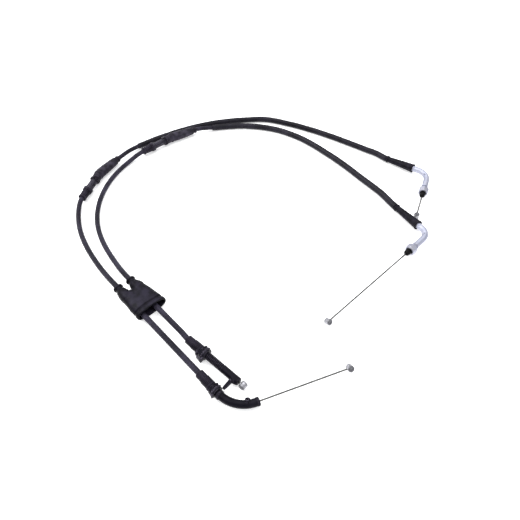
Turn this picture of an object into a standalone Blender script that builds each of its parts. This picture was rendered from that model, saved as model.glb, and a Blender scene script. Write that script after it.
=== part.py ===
"""A pair of motorcycle throttle cables, one that opens the throttle and one that closes it, laid out on a bench.

Each cable is a conduit with an inner wire: a guide tube at the twist grip, an in-line adjuster about a
third of the way along, and a plated elbow at the engine. One rubber boot with two necks rides on both
conduits near the grip. All lengths below are in millimetres on the bench plan (X right, Y away, Z up);
MM turns them into metres, and ORIGIN is the plan point that becomes the part's own origin.
"""

import math

import bmesh
import bpy
import numpy as np
from mathutils import Matrix, Vector

MM = 0.001
ORIGIN = Vector((-3.1, 34.5, 0.09))
GAP = 0.3
SAME_POINT = 0.01
UP = Vector((0.0, 0.0, 1.0))

ROUND = 16
HEX_FACETS = 12
HEX = "hex"

# Cable
CONDUIT_R = 2.75
CONDUIT_BORE_R = 3.1
WIRE_R = 0.75
POINT_STEP = 13.0
NIPPLE_R = 3.0
NIPPLE_LENGTH = 7.5
NIPPLE_CHAMFER = 0.4
PULL_STROKE = 11.0
TAIL_MARGIN = 2.0

# Wear sleeves
SLEEVE_BORE_R = 3.15
PULL_SLEEVE_R = (3.9, 3.9)
RETURN_SLEEVE_R = (3.4, 3.8)

# Grip end
GUIDE_R = 3.75
GUIDE_BORE_R = 1.6
SPIGOT_R = 2.8
SPIGOT_START = 9.3
NUT_START = 17.9
NUT_END = 24.2
GUIDE_SHOULDER = NUT_START + GAP
PULL_GUIDE_LENGTH = 63.0
RETURN_BEND_START = 26.1
RETURN_BEND_R = 29.0
RETURN_MOUTH_STRAIGHT = 3.0
BEND_PIECES = 12
PIN_ARC_POINT = 10
PIN_LEAN = 0.9
RETURN_WIRE_LENGTH = 86.5
PULL_WIRE_LENGTH = 4.6
ARM_STATION = 56.8
ARM_WIDTH = 3.0
ARM_THICKNESS = 2.2
ARM_REACH = 13.0
ARM_BEVEL = 0.8

# Two-necked boot, on stations from its rims
BOOT_PITCH = 14.5
BOOT_LENGTH = 45.5
BOOT_HEIGHT = 7.3

# In-line adjuster, on stations from its cap; its rubber cover bends with the conduit past the body
CAP_END = 14.7
CAP_SOCKET = 11.3
COLLAR_END = 17.2
BARREL_END = 32.3
LOCK_NUT_END = 36.3
COVER_START = 43.0
SCREW_END = 44.0
BODY_SOCKET = 45.5
BODY_END = 50.0
COVER_BEND_START = 49.0
COVER_BEND_END = 63.0
COVER_BEND_PIECES = 4
ADJUSTER_LENGTH = 82.5
ADJUSTER_HEIGHT = 7.2
DUCT_R = 1.5

# Engine end, on distances from the middle of the nut, positive towards the wire's free end
ELBOW_R = 3.45
ELBOW_BORE_R = 1.9
ELBOW_BEND_R = 13.0
ELBOW_LEG = 20.0
ELBOW_SPIGOT = 5.0
CRIMP_GRIP = 6.0
CORNER_TO_NUT = 32.0
NUT_HALF = 3.5
SEAL_END = 10.5
ENGINE_BOOT_LENGTH = 37.0
ENGINE_HEIGHT = 7.5


def plan(angle, pitch=0.0):
    """Unit vector at an angle on the plan, in degrees from +X, rising by a pitch in degrees."""
    a, p = math.radians(angle), math.radians(pitch)
    return Vector((math.cos(a) * math.cos(p), math.sin(a) * math.cos(p), math.sin(p)))


# The straight run that both conduits share, from the boot's rims to the grip ends
RUN = plan(-45.9)
ACROSS = UP.cross(RUN)
RIMS = Vector((-137.4, -37.2, BOOT_HEIGHT))
PULL_RUN = RIMS + ACROSS * (BOOT_PITCH / 2)
RETURN_RUN = RIMS - ACROSS * (BOOT_PITCH / 2)
RUN_LEAD = 3.0
PULL_STRAIGHT = 85.0
RETURN_STRAIGHT = 128.9

PULL_GRIP_AT = Vector((-65.9, -101.2, 7.6))
PULL_GRIP_DIRECTION = plan(-40.5, -2.0)
RETURN_GRIP_AT = RETURN_RUN + RUN * RETURN_STRAIGHT
RETURN_MOUTH_DIRECTION = plan(21.5, -2.2)

PULL_ADJUSTER_AT = Vector((-154.6, 181.4, ADJUSTER_HEIGHT))
PULL_ADJUSTER_DIRECTION = plan(43.0)
PULL_COVER_TURN = 16.5
RETURN_ADJUSTER_AT = Vector((-212.2, 90.0, ADJUSTER_HEIGHT))
RETURN_ADJUSTER_DIRECTION = plan(77.0)
RETURN_COVER_TURN = 21.5

PULL_NUT_AT = Vector((162.6, 8.9, ENGINE_HEIGHT))
PULL_ENGINE_IN = plan(-61.0, 4.2)
PULL_ENGINE_OUT = plan(-137.8, -1.9)
PULL_LEG_SHOWN = 6.0
PULL_NIPPLE_DISTANCE = 131.5

RETURN_NUT_AT = Vector((197.6, 102.6, ENGINE_HEIGHT))
RETURN_ENGINE_IN = plan(-40.0, 4.8)
RETURN_ENGINE_OUT = plan(-112.5, -4.0)
RETURN_LEG_SHOWN = 10.5
RETURN_NIPPLE_DISTANCE = 42.5

# Routes of the free stretches, between one fitting's mouth and the next
PULL_LOOP = [
    (-168.6, 167.0, 4.2),
    (-180.4, 147.0, 3.1),
    (-187.5, 127.0, 3.0),
    (-192.0, 90.5, 3.0),
    (-187.5, 57.0, 3.0),
    (-174.5, 25.5, 3.0),
    (-155.5, -3.5, 3.8),
]
RETURN_LOOP = [
    (-213.4, 79.5, 5.0),
    (-211.2, 65.0, 3.2),
    (-203.0, 41.0, 3.0),
    (-186.0, 11.0, 3.0),
    (-165.0, -17.0, 4.0),
]
PULL_SWEEP = [
    (-66.0, 239.5, 5.0),
    (-28.4, 245.0, 4.2),
    (-7.0, 243.5, 4.2),
    (20.7, 236.5, 4.2),
    (42.6, 225.0, 4.2),
    (64.3, 208.0, 4.2),
    (83.7, 187.3, 4.2),
    (101.6, 166.2, 4.2),
    (117.6, 144.5, 4.2),
    (132.6, 123.2, 4.2),
    (147.6, 101.4, 4.4),
]
RETURN_SWEEP = [
    (-171.5, 188.5, 5.4),
    (-161.5, 199.0, 4.4),
    (-137.5, 217.0, 4.2),
    (-103.5, 237.0, 4.2),
    (-76.5, 248.5, 4.2),
    (-46.5, 256.5, 4.2),
    (-11.6, 261.0, 4.2),
    (6.0, 261.5, 4.2),
    (24.4, 256.8, 4.2),
    (42.8, 249.5, 4.2),
    (72.8, 234.8, 4.2),
    (111.1, 211.2, 4.2),
    (144.0, 188.4, 4.3),
    (157.0, 178.2, 4.6),
]
PULL_SLEEVE_START = 24.0
RETURN_SLEEVE_START = 37.0
SLEEVE_END_GAP = 0.9

COLOURS = {
    "rubber": ((0.030, 0.029, 0.034), 0.62, 0.0),
    "jacket": ((0.034, 0.033, 0.039), 0.48, 0.0),
    "moulding": ((0.028, 0.027, 0.032), 0.50, 0.0),
    "black_steel": ((0.022, 0.022, 0.025), 0.38, 0.6),
    "plated_steel": ((0.78, 0.79, 0.83), 0.22, 1.0),
    "wire_steel": ((0.46, 0.45, 0.43), 0.38, 1.0),
    "zinc": ((0.62, 0.62, 0.64), 0.42, 1.0),
}


def clear_scene():
    for old in list(bpy.data.objects):
        bpy.data.objects.remove(old, do_unlink=True)


def finish_material(name, kind):
    """The object's own Principled BSDF material."""
    colour, roughness, metallic = COLOURS[kind]
    material = bpy.data.materials.new(f"{name}_{kind}")
    material.use_nodes = True
    shader = material.node_tree.nodes["Principled BSDF"]
    shader.inputs["Base Color"].default_value = (*colour, 1.0)
    shader.inputs["Roughness"].default_value = roughness
    shader.inputs["Metallic"].default_value = metallic
    return material


def add_object(name, data, kind, matrix=None):
    """Link a mesh or curve whose frame is given on the plan, in millimetres."""
    obj = bpy.data.objects.new(name, data)
    data.materials.append(finish_material(name, kind))
    bpy.context.collection.objects.link(obj)
    frame = matrix or Matrix.Translation(ORIGIN)
    rotation = frame.to_quaternion()
    obj.matrix_world = Matrix.Translation((frame.to_translation() - ORIGIN) * MM) @ rotation.to_matrix().to_4x4()
    return obj


def add_mesh(name, bm, kind, matrix=None):
    """Turn a bmesh drawn in millimetres into an object with smooth faces and sharp edges."""
    bmesh.ops.recalc_face_normals(bm, faces=bm.faces)
    bmesh.ops.scale(bm, vec=(MM, MM, MM), verts=bm.verts)
    mesh = bpy.data.meshes.new(name)
    bm.to_mesh(mesh)
    bm.free()
    mesh.shade_smooth()
    mesh.set_sharp_from_angle(angle=math.radians(35.0))
    return add_object(name, mesh, kind, matrix)


def axis_frame(point, direction):
    """Frame with +Z along a direction and +X level."""
    z = direction.normalized()
    x = UP.cross(z).normalized()
    y = z.cross(x)
    return Matrix.Translation(point) @ Matrix((x, y, z)).transposed().to_4x4()


def bridge(bm, rings, closed):
    """Skin a row of equal rings, joined end to end or capped."""
    count = len(rings[0])
    pairs = list(zip(rings, rings[1:]))
    if closed:
        pairs.append((rings[-1], rings[0]))
    for first, second in pairs:
        for i in range(count):
            j = (i + 1) % count
            bm.faces.new((first[i], first[j], second[j], second[i]))
    if not closed:
        bm.faces.new(rings[0])
        bm.faces.new(rings[-1])


def turned_mesh(outline, hollow=True, facets=ROUND):
    """Turn an outline of (radius, station) about +Z; a point marked HEX follows a hexagon of that half-width."""
    bm = bmesh.new()
    rings = []
    for radius, station, *mark in outline:
        ring = []
        for i in range(facets):
            angle = math.tau * i / facets
            reach = radius
            if mark:
                off_flat = (angle + math.pi / 6) % (math.pi / 3) - math.pi / 6
                reach = radius / math.cos(off_flat)
            ring.append(bm.verts.new((reach * math.cos(angle), reach * math.sin(angle), station)))
        rings.append(ring)
    bridge(bm, rings, hollow)
    return bm


def turned(name, outline, kind, frame, hollow=True, facets=ROUND):
    return add_mesh(name, turned_mesh(outline, hollow, facets), kind, frame)


def smooth_stretch(points, start_direction, end_direction):
    """Points every POINT_STEP or less on the cubic spline through a route, with its end directions set."""
    route = np.array([list(p) for p in points], float)
    chords = np.linalg.norm(np.diff(route, axis=0), axis=1)
    count = len(route)
    system = np.zeros((count, count))
    target = np.zeros((count, 3))
    system[0, 0] = 1.0
    target[0] = start_direction
    system[-1, -1] = 1.0
    target[-1] = end_direction
    for i in range(1, count - 1):
        before, after = chords[i - 1], chords[i]
        system[i, i - 1] = after
        system[i, i] = 2.0 * (before + after)
        system[i, i + 1] = before
        rise_before = (route[i] - route[i - 1]) / before
        rise_after = (route[i + 1] - route[i]) / after
        target[i] = 3.0 * (after * rise_before + before * rise_after)
    slopes = np.linalg.solve(system, target)
    result = [Vector(route[0])]
    for i, chord in enumerate(chords):
        pieces = max(1, math.ceil(chord / POINT_STEP))
        for k in range(1, pieces + 1):
            t = k / pieces
            result.append(Vector(
                (1 + 2 * t) * (1 - t) ** 2 * route[i]
                + t * (1 - t) ** 2 * chord * slopes[i]
                + t * t * (3 - 2 * t) * route[i + 1]
                + t * t * (t - 1) * chord * slopes[i + 1]
            ))
    return result


def straight_stretch(start, end):
    """Points every POINT_STEP or less on a straight line."""
    pieces = max(1, math.ceil((end - start).length / POINT_STEP))
    return [start.lerp(end, k / pieces) for k in range(pieces + 1)]


def joined(*stretches):
    """One path from stretches that meet end to end."""
    path = list(stretches[0])
    for stretch in stretches[1:]:
        path.extend(stretch[1:])
    return path


def bend(start, heading, leaving, radius, pieces):
    """Points on the arc that turns one direction into another."""
    axis = heading.cross(leaving).normalized()
    total = heading.angle(leaving)
    centre = start + axis.cross(heading) * radius
    spoke = start - centre
    return [centre + Matrix.Rotation(total * k / pieces, 3, axis) @ spoke for k in range(pieces + 1)]


def heading_at(path, index):
    """Direction of a path at one of its points, looking past repeats of that point."""
    here = path[index]
    ahead = next((p for p in path[index + 1:] if (p - here).length > SAME_POINT), here)
    behind = next((p for p in reversed(path[:index]) if (p - here).length > SAME_POINT), here)
    return (ahead - behind).normalized()


def path_rings(bm, stops, facets):
    """Rings square to a path of (point, radius) stops."""
    path = [point for point, _ in stops]
    rings = []
    for index, (point, radius) in enumerate(stops):
        tangent = heading_at(path, index)
        side = UP.cross(tangent).normalized()
        other = tangent.cross(side)
        ring = []
        for k in range(facets):
            angle = math.tau * k / facets
            ring.append(bm.verts.new(point + (side * math.cos(angle) + other * math.sin(angle)) * radius))
        rings.append(ring)
    return rings


def swept_pipe(name, outer, inner, kind, facets=ROUND):
    """Open pipe between an outer and an inner skin, each a row of (point, radius) stops."""
    start = outer[0][0].copy()
    bm = bmesh.new()
    outside = path_rings(bm, [(point - start, radius) for point, radius in outer], facets)
    inside = path_rings(bm, [(point - start, radius) for point, radius in inner], facets)
    bridge(bm, outside + inside[::-1], closed=True)
    return add_mesh(name, bm, kind, Matrix.Translation(start))


def along(track, station):
    """The point a distance along a path."""
    for first, second in zip(track, track[1:]):
        length = (second - first).length
        if station <= length:
            return first.lerp(second, station / length)
        station -= length
    return track[-1] + (track[-1] - track[-2]).normalized() * station


def conduit(name, path):
    """Plain round conduit along its route."""
    start = path[0].copy()
    curve = bpy.data.curves.new(name, "CURVE")
    curve.dimensions = "3D"
    curve.bevel_depth = CONDUIT_R * MM
    curve.bevel_resolution = 2
    curve.use_fill_caps = True
    spline = curve.splines.new("POLY")
    spline.points.add(len(path) - 1)
    for point, place in zip(spline.points, path):
        point.co = (*((place - start) * MM), 1.0)
    return add_object(name, curve, "jacket", Matrix.Translation(start))


def straight_wire(name, frame, start, end):
    outline = [(WIRE_R, start), (WIRE_R, end)]
    return turned(name, outline, "wire_steel", frame, hollow=False, facets=8)


def nipple(name, frame, station):
    """Barrel nipple, its axis level and square to the wire."""
    half = NIPPLE_LENGTH / 2
    outline = [
        (NIPPLE_R - NIPPLE_CHAMFER, -half),
        (NIPPLE_R, -half + NIPPLE_CHAMFER),
        (NIPPLE_R, half - NIPPLE_CHAMFER),
        (NIPPLE_R - NIPPLE_CHAMFER, half),
    ]
    across = frame @ Matrix.Translation((0, 0, station)) @ Matrix.Rotation(math.pi / 2, 4, "Y")
    return turned(name, outline, "zinc", across, hollow=False)


def grip_ferrule(name, frame):
    """Ribbed moulded ferrule over the conduit's end and the guide's spigot."""
    end = NUT_START - GAP
    outline = [
        (CONDUIT_BORE_R, 0.0),
        (3.6, 0.0),
        (3.8, 1.0),
        (4.0, 7.0),
        (4.4, 7.6),
        (4.4, 15.8),
        (4.1, end),
        (CONDUIT_BORE_R, end),
    ]
    turned(name, outline, "moulding", frame)


def grip_nut(name, frame, half_flats, flange_r):
    """Hexagon nut with a round flange, free to turn on the guide."""
    bore = GUIDE_R + 0.45
    outline = [
        (bore, NUT_START),
        (half_flats, NUT_START),
        (half_flats, NUT_START + 0.7, HEX),
        (half_flats, NUT_END - 3.0, HEX),
        (half_flats, NUT_END - 2.5),
        (flange_r, NUT_END - 1.9),
        (flange_r, NUT_END - 0.4),
        (flange_r - 0.5, NUT_END),
        (bore, NUT_END),
    ]
    turned(name, outline, "black_steel", frame, facets=24)


def pull_grip_end():
    frame = axis_frame(PULL_GRIP_AT, PULL_GRIP_DIRECTION)
    grip_ferrule("pull_grip_ferrule", frame)
    grip_nut("pull_grip_nut", frame, 5.5, 6.6)
    end = PULL_GUIDE_LENGTH
    outline = [
        (GUIDE_BORE_R, SPIGOT_START),
        (SPIGOT_R, SPIGOT_START),
        (SPIGOT_R, GUIDE_SHOULDER),
        (GUIDE_R, GUIDE_SHOULDER),
        (GUIDE_R, end - 0.8),
        (GUIDE_R - 0.5, end),
        (GUIDE_BORE_R, end),
    ]
    turned("pull_guide_tube", outline, "black_steel", frame)
    bm = bmesh.new()
    near = GUIDE_R + GAP
    half = ARM_WIDTH / 2
    corners = [
        (near, -half),
        (ARM_REACH - ARM_BEVEL, -half),
        (ARM_REACH, -half + ARM_BEVEL),
        (ARM_REACH, half - ARM_BEVEL),
        (ARM_REACH - ARM_BEVEL, half),
        (near, half),
    ]
    rings = []
    for side in (-ARM_THICKNESS / 2, ARM_THICKNESS / 2):
        rings.append([bm.verts.new((-across, side, ARM_STATION + along)) for across, along in corners])
    bridge(bm, rings, closed=False)
    add_mesh("pull_locating_arm", bm, "black_steel", frame)
    nipple_at = end + PULL_WIRE_LENGTH
    tail = end - TAIL_MARGIN - PULL_STROKE
    straight_wire("pull_grip_wire", frame, tail, nipple_at - NIPPLE_R - GAP)
    nipple("pull_grip_nipple", frame, nipple_at)


def return_grip_end():
    frame = axis_frame(RETURN_GRIP_AT, RUN)
    grip_ferrule("return_grip_ferrule", frame)
    grip_nut("return_grip_nut", frame, 5.2, 6.1)
    bend_start = RETURN_GRIP_AT + RUN * RETURN_BEND_START
    arc = bend(bend_start, RUN, RETURN_MOUTH_DIRECTION, RETURN_BEND_R, BEND_PIECES)
    mouth = arc[-1] + RETURN_MOUTH_DIRECTION * RETURN_MOUTH_STRAIGHT
    collar_r = 4.4
    shoulder = RETURN_GRIP_AT + RUN * GUIDE_SHOULDER
    outer = [
        (RETURN_GRIP_AT + RUN * SPIGOT_START, SPIGOT_R),
        (shoulder, SPIGOT_R),
        (shoulder, GUIDE_R),
        *((point, GUIDE_R) for point in arc),
        (mouth - RETURN_MOUTH_DIRECTION * 2.4, GUIDE_R),
        (mouth - RETURN_MOUTH_DIRECTION * 1.6, collar_r),
        (mouth, collar_r),
    ]
    inner = [(RETURN_GRIP_AT + RUN * SPIGOT_START, GUIDE_BORE_R)]
    inner.extend((point, GUIDE_BORE_R) for point in arc)
    inner.append((mouth, GUIDE_BORE_R))
    swept_pipe("return_guide_elbow", outer, inner, "black_steel")

    inward = UP.cross(heading_at(arc, PIN_ARC_POINT))
    pin_frame = axis_frame(arc[PIN_ARC_POINT], (inward + UP * PIN_LEAN).normalized())
    foot = GUIDE_R + GAP
    pin = [(2.1, foot), (2.1, foot + 1.2), (1.7, foot + 1.6)]
    turned("return_locating_pin", pin, "black_steel", pin_frame, hollow=False, facets=12)

    wire_frame = axis_frame(mouth, RETURN_MOUTH_DIRECTION)
    straight_wire("return_grip_wire", wire_frame, -TAIL_MARGIN, RETURN_WIRE_LENGTH - NIPPLE_R - GAP)
    nipple("return_grip_nipple", wire_frame, RETURN_WIRE_LENGTH)


def adjuster_track(place, direction, turn):
    """Centre line of an adjuster and its rubber cover, from the cap to the cover's far end."""
    bend_start = place + direction * COVER_BEND_START
    leaving = Matrix.Rotation(math.radians(-turn), 3, "Z") @ direction
    radius = (COVER_BEND_END - COVER_BEND_START) / math.radians(turn)
    arc = bend(bend_start, direction, leaving, radius, COVER_BEND_PIECES)
    end = arc[-1] + leaving * (ADJUSTER_LENGTH - COVER_BEND_END)
    return [place, *arc, end]


def adjuster(prefix, place, direction, turn):
    """In-line adjuster: cap, hollow screw, lock nut, body and rubber cover."""
    frame = axis_frame(place, direction)
    bore = CONDUIT_BORE_R
    cap = [
        (bore, 0.0),
        (4.4, 0.0),
        (4.9, 0.8),
        (4.9, 3.2),
        (4.5, 3.8),
        (4.8, 12.6),
        (5.3, 13.2),
        (5.3, CAP_END),
        (DUCT_R, CAP_END),
        (DUCT_R, CAP_SOCKET),
        (bore, CAP_SOCKET),
    ]
    turned(f"{prefix}_adjuster_cap", cap, "moulding", frame)
    thread_r = 4.0
    screw = [
        (DUCT_R, CAP_END + GAP),
        (5.8, CAP_END + GAP),
        (6.0, CAP_END + 0.7),
        (6.0, COLLAR_END - 0.3),
        (5.7, COLLAR_END),
        (4.4, COLLAR_END),
        (4.4, BARREL_END),
        (thread_r, BARREL_END),
        (thread_r, SCREW_END - 0.6),
        (thread_r - 0.6, SCREW_END),
        (DUCT_R, SCREW_END),
    ]
    turned(f"{prefix}_adjuster_screw", screw, "black_steel", frame)
    nut_bore = thread_r + 0.45
    nut_half = 5.7
    nut = [
        (nut_bore, BARREL_END + GAP),
        (nut_half, BARREL_END + GAP),
        (nut_half, BARREL_END + 0.9, HEX),
        (nut_half, LOCK_NUT_END - 0.6, HEX),
        (nut_half, LOCK_NUT_END),
        (nut_bore, LOCK_NUT_END),
    ]
    turned(f"{prefix}_lock_nut", nut, "black_steel", frame, facets=HEX_FACETS)
    body = [
        (nut_bore, LOCK_NUT_END + GAP),
        (5.4, LOCK_NUT_END + GAP),
        (5.4, COVER_START - 0.4),
        (5.1, COVER_START),
        (5.1, BODY_END - 1.5),
        (4.3, BODY_END),
        (bore, BODY_END),
        (bore, BODY_SOCKET),
        (DUCT_R, BODY_SOCKET),
        (DUCT_R, SCREW_END + 0.6),
        (nut_bore, SCREW_END + 0.6),
    ]
    turned(f"{prefix}_adjuster_body", body, "black_steel", frame)

    track = adjuster_track(place, direction, turn)
    outer = [
        (COVER_START + GAP, 6.1),
        (COVER_START + 1.5, 6.4),
        (COVER_BEND_START, 6.35),
        (52.5, 6.3),
        (56.0, 6.2),
        (59.5, 6.0),
        (COVER_BEND_END, 5.8),
        (69.0, 5.4),
        (75.5, 4.9),
        (77.0, 4.1),
        (79.8, 3.85),
        (80.2, 4.1),
        (ADJUSTER_LENGTH, 4.1),
    ]
    inner = [
        (COVER_START + GAP, 5.45),
        (COVER_BEND_START, 5.45),
        (52.5, 4.7),
        (56.0, 4.5),
        (59.5, 4.5),
        (COVER_BEND_END, 4.4),
        (69.0, 4.1),
        (75.0, bore),
        (ADJUSTER_LENGTH, bore),
    ]
    outer_stops = [(along(track, station), radius) for station, radius in outer]
    inner_stops = [(along(track, station), radius) for station, radius in inner]
    swept_pipe(f"{prefix}_adjuster_cover", outer_stops, inner_stops, "rubber")


def engine_corner(nut_at, out_direction):
    return nut_at - out_direction * CORNER_TO_NUT


def engine_mouth(nut_at, in_direction, out_direction, leg_shown):
    """Where the plated elbow leaves its rubber boot."""
    tangent = ELBOW_BEND_R * math.tan(in_direction.angle(out_direction) / 2)
    return engine_corner(nut_at, out_direction) - in_direction * (tangent + leg_shown)


def engine_end(prefix, nut_at, in_direction, out_direction, leg_shown, nipple_distance):
    """Rubber boot, crimp sleeve, plated elbow, nut, seal, wire and nipple at the engine."""
    mouth = engine_mouth(nut_at, in_direction, out_direction, leg_shown)
    boot_frame = axis_frame(mouth - in_direction * ENGINE_BOOT_LENGTH, in_direction)
    length = ENGINE_BOOT_LENGTH
    leg_start = length + leg_shown - ELBOW_LEG
    crimp_r = 3.65
    boot = [
        (CONDUIT_BORE_R, 0.0),
        (4.1, 0.0),
        (4.1, 1.4),
        (3.7, 2.0),
        (4.3, 9.0),
        (5.1, 26.0),
        (5.4, length - 1.6),
        (5.7, length - 1.2),
        (5.7, length),
        (4.6, length),
        (4.3, 26.0),
        (3.95, 8.6),
        (CONDUIT_BORE_R, 7.4),
    ]
    turned(f"{prefix}_engine_boot", boot, "rubber", boot_frame)
    crimp = [
        (CONDUIT_BORE_R, leg_start - CRIMP_GRIP),
        (crimp_r, leg_start - CRIMP_GRIP),
        (crimp_r, leg_start + ELBOW_SPIGOT - GAP),
        (CONDUIT_BORE_R, leg_start + ELBOW_SPIGOT - GAP),
    ]
    turned(f"{prefix}_crimp_sleeve", crimp, "plated_steel", boot_frame)

    begin = mouth + in_direction * (leg_shown - ELBOW_LEG)
    shoulder = begin + in_direction * ELBOW_SPIGOT
    arc = bend(mouth + in_direction * leg_shown, in_direction, out_direction, ELBOW_BEND_R, BEND_PIECES)
    end = nut_at + out_direction * (NUT_HALF - GAP)
    spigot_r = SPIGOT_R - 0.05
    outer = [(begin, spigot_r), (shoulder, spigot_r), (shoulder, ELBOW_R)]
    outer.extend((point, ELBOW_R) for point in [*arc, end])
    inner = [(point, ELBOW_BORE_R) for point in [begin, *arc, end]]
    swept_pipe(f"{prefix}_engine_elbow", outer, inner, "plated_steel")

    frame = axis_frame(nut_at, out_direction)
    nut_bore = ELBOW_R + 0.45
    half_flats = 5.2
    nut = [
        (nut_bore, -NUT_HALF),
        (half_flats - 0.2, -NUT_HALF),
        (half_flats, -NUT_HALF + 0.8, HEX),
        (half_flats, NUT_HALF - 0.8, HEX),
        (half_flats - 0.2, NUT_HALF),
        (nut_bore, NUT_HALF),
    ]
    turned(f"{prefix}_engine_nut", nut, "plated_steel", frame, facets=HEX_FACETS)
    seal = [
        (1.2, NUT_HALF),
        (3.3, NUT_HALF),
        (3.35, 7.0),
        (2.9, 8.9),
        (1.9, SEAL_END),
        (1.2, SEAL_END),
    ]
    turned(f"{prefix}_engine_seal", seal, "rubber", frame)
    straight_wire(f"{prefix}_engine_wire", frame, SEAL_END - TAIL_MARGIN, nipple_distance - NIPPLE_R - GAP)
    nipple(f"{prefix}_engine_nipple", frame, nipple_distance)


def stadium(bm, half_width, half_height, station, shift):
    """Flattened oval ring square to +Z: two half circles joined by flats."""
    ring = []
    straight = half_width - half_height
    for centre, first in ((straight, -90.0), (-straight, 90.0)):
        for k in range(9):
            angle = math.radians(first + 22.5 * k)
            x = shift + centre + half_height * math.cos(angle)
            ring.append(bm.verts.new((x, half_height * math.sin(angle), station)))
    return ring


def lofted(sections):
    bm = bmesh.new()
    bridge(bm, [stadium(bm, *section) for section in sections], closed=False)
    return bm


def hide_cutter(obj):
    obj.hide_render = True
    obj.display_type = "WIRE"


def combine(target, tool, operation):
    modifier = target.modifiers.new(tool.name, "BOOLEAN")
    modifier.operation = operation
    modifier.solver = "EXACT"
    modifier.object = tool


def cable_boot():
    """Rubber boot with a neck for each conduit and one flat oval mouth."""
    frame = axis_frame(RIMS, RUN)
    body = lofted([
        (12.9, 5.4, 15.2, 0.2),
        (14.1, 6.5, 18.5, 0.7),
        (15.2, 6.8, 25.0, 1.2),
        (15.9, 6.9, 33.0, 1.9),
        (16.5, 7.1, 41.0, 2.4),
        (16.5, 7.1, BOOT_LENGTH, 2.5),
    ])
    boot = add_mesh("cable_boot", body, "rubber", frame)
    offsets = (-BOOT_PITCH / 2, BOOT_PITCH / 2)
    neck = [(4.3, 0.0), (4.8, 0.5), (4.8, 1.8), (4.1, 2.6), (4.5, 5.0), (5.5, 8.5), (6.1, 12.5), (6.3, 18.0)]
    for number, offset in enumerate(offsets):
        place = frame @ Matrix.Translation((offset, 0.0, 0.0))
        tool = turned(f"boot_neck_{number}", neck, "rubber", place, hollow=False)
        hide_cutter(tool)
        combine(boot, tool, "UNION")
    hollow = lofted([
        (10.9, 3.6, 17.0, 0.3),
        (12.7, 4.6, 24.0, 1.1),
        (13.8, 5.0, 34.0, 1.9),
        (14.5, 5.1, BOOT_LENGTH + 1.0, 2.5),
    ])
    cutter = add_mesh("boot_hollow", hollow, "rubber", frame)
    hide_cutter(cutter)
    combine(boot, cutter, "DIFFERENCE")
    for number, offset in enumerate(offsets):
        place = frame @ Matrix.Translation((offset, 0.0, 0.0))
        bore = [(CONDUIT_BORE_R, -1.0), (CONDUIT_BORE_R, 19.0)]
        tool = turned(f"boot_bore_{number}", bore, "rubber", place, hollow=False)
        hide_cutter(tool)
        combine(boot, tool, "DIFFERENCE")


def grip_conduit_path(adjuster_at, adjuster_direction, loop, run_start, straight, grip_at, grip_direction):
    """From the adjuster's cap round the loop, through the boot and into the grip ferrule."""
    inside_cap = adjuster_at + adjuster_direction * (CAP_SOCKET - GAP)
    run_from = run_start - RUN * RUN_LEAD
    run_to = run_start + RUN * straight
    inside_ferrule = grip_at + grip_direction * (SPIGOT_START - GAP)
    stretches = [
        straight_stretch(inside_cap, adjuster_at),
        smooth_stretch([adjuster_at, *map(Vector, loop), run_from], -adjuster_direction, RUN),
        straight_stretch(run_from, run_to),
    ]
    if (grip_at - run_to).length > GAP:
        stretches.append(smooth_stretch([run_to, grip_at], RUN, grip_direction))
    stretches.append(straight_stretch(stretches[-1][-1], inside_ferrule))
    return joined(*stretches)


def engine_conduit_path(track, sweep, nut_at, in_direction, out_direction, leg_shown):
    """From the adjuster's body to the elbow inside the engine boot."""
    socket = along(track, BODY_SOCKET + GAP)
    mouth = engine_mouth(nut_at, in_direction, out_direction, leg_shown)
    boot_start = mouth - in_direction * ENGINE_BOOT_LENGTH
    elbow_start = mouth + in_direction * (leg_shown - ELBOW_LEG - GAP)
    leaving = (track[-1] - track[-2]).normalized()
    return joined(
        [socket, *track[1:-1]],
        straight_stretch(track[-2], track[-1]),
        smooth_stretch([track[-1], *map(Vector, sweep), boot_start], leaving, in_direction),
        straight_stretch(boot_start, elbow_start),
    )


def wear_sleeve(name, path, cover_end, start_after, boot_start, radii):
    """Loose outer tube over the conduit, from a distance past the adjuster's cover up to the engine boot."""
    lengths = [0.0]
    for first, second in zip(path, path[1:]):
        lengths.append(lengths[-1] + (second - first).length)
    from_length = lengths[path.index(cover_end)] + start_after
    start = next(i for i, length in enumerate(lengths) if length >= from_length)
    end = path.index(boot_start)
    span = [*path[start:end], boot_start + (path[end - 1] - boot_start).normalized() * SLEEVE_END_GAP]
    count = len(span)
    outer = [radii[0] + (radii[1] - radii[0]) * min(1.0, 2.0 * i / (count - 1)) for i in range(count)]
    swept_pipe(name, list(zip(span, outer)), [(point, SLEEVE_BORE_R) for point in span], "jacket", facets=12)


def engine_side(prefix, track, sweep, sleeve_start, sleeve_radii, nipple_distance, engine):
    """Everything from the adjuster's body to the engine nipple."""
    engine_end(prefix, *engine, nipple_distance)
    path = engine_conduit_path(track, sweep, *engine)
    conduit(f"{prefix}_engine_conduit", path)
    boot_start = engine_mouth(*engine) - engine[1] * ENGINE_BOOT_LENGTH
    nearest = min(path, key=lambda point: (point - boot_start).length)
    wear_sleeve(f"{prefix}_wear_sleeve", path, track[-1], sleeve_start, nearest, sleeve_radii)


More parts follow.
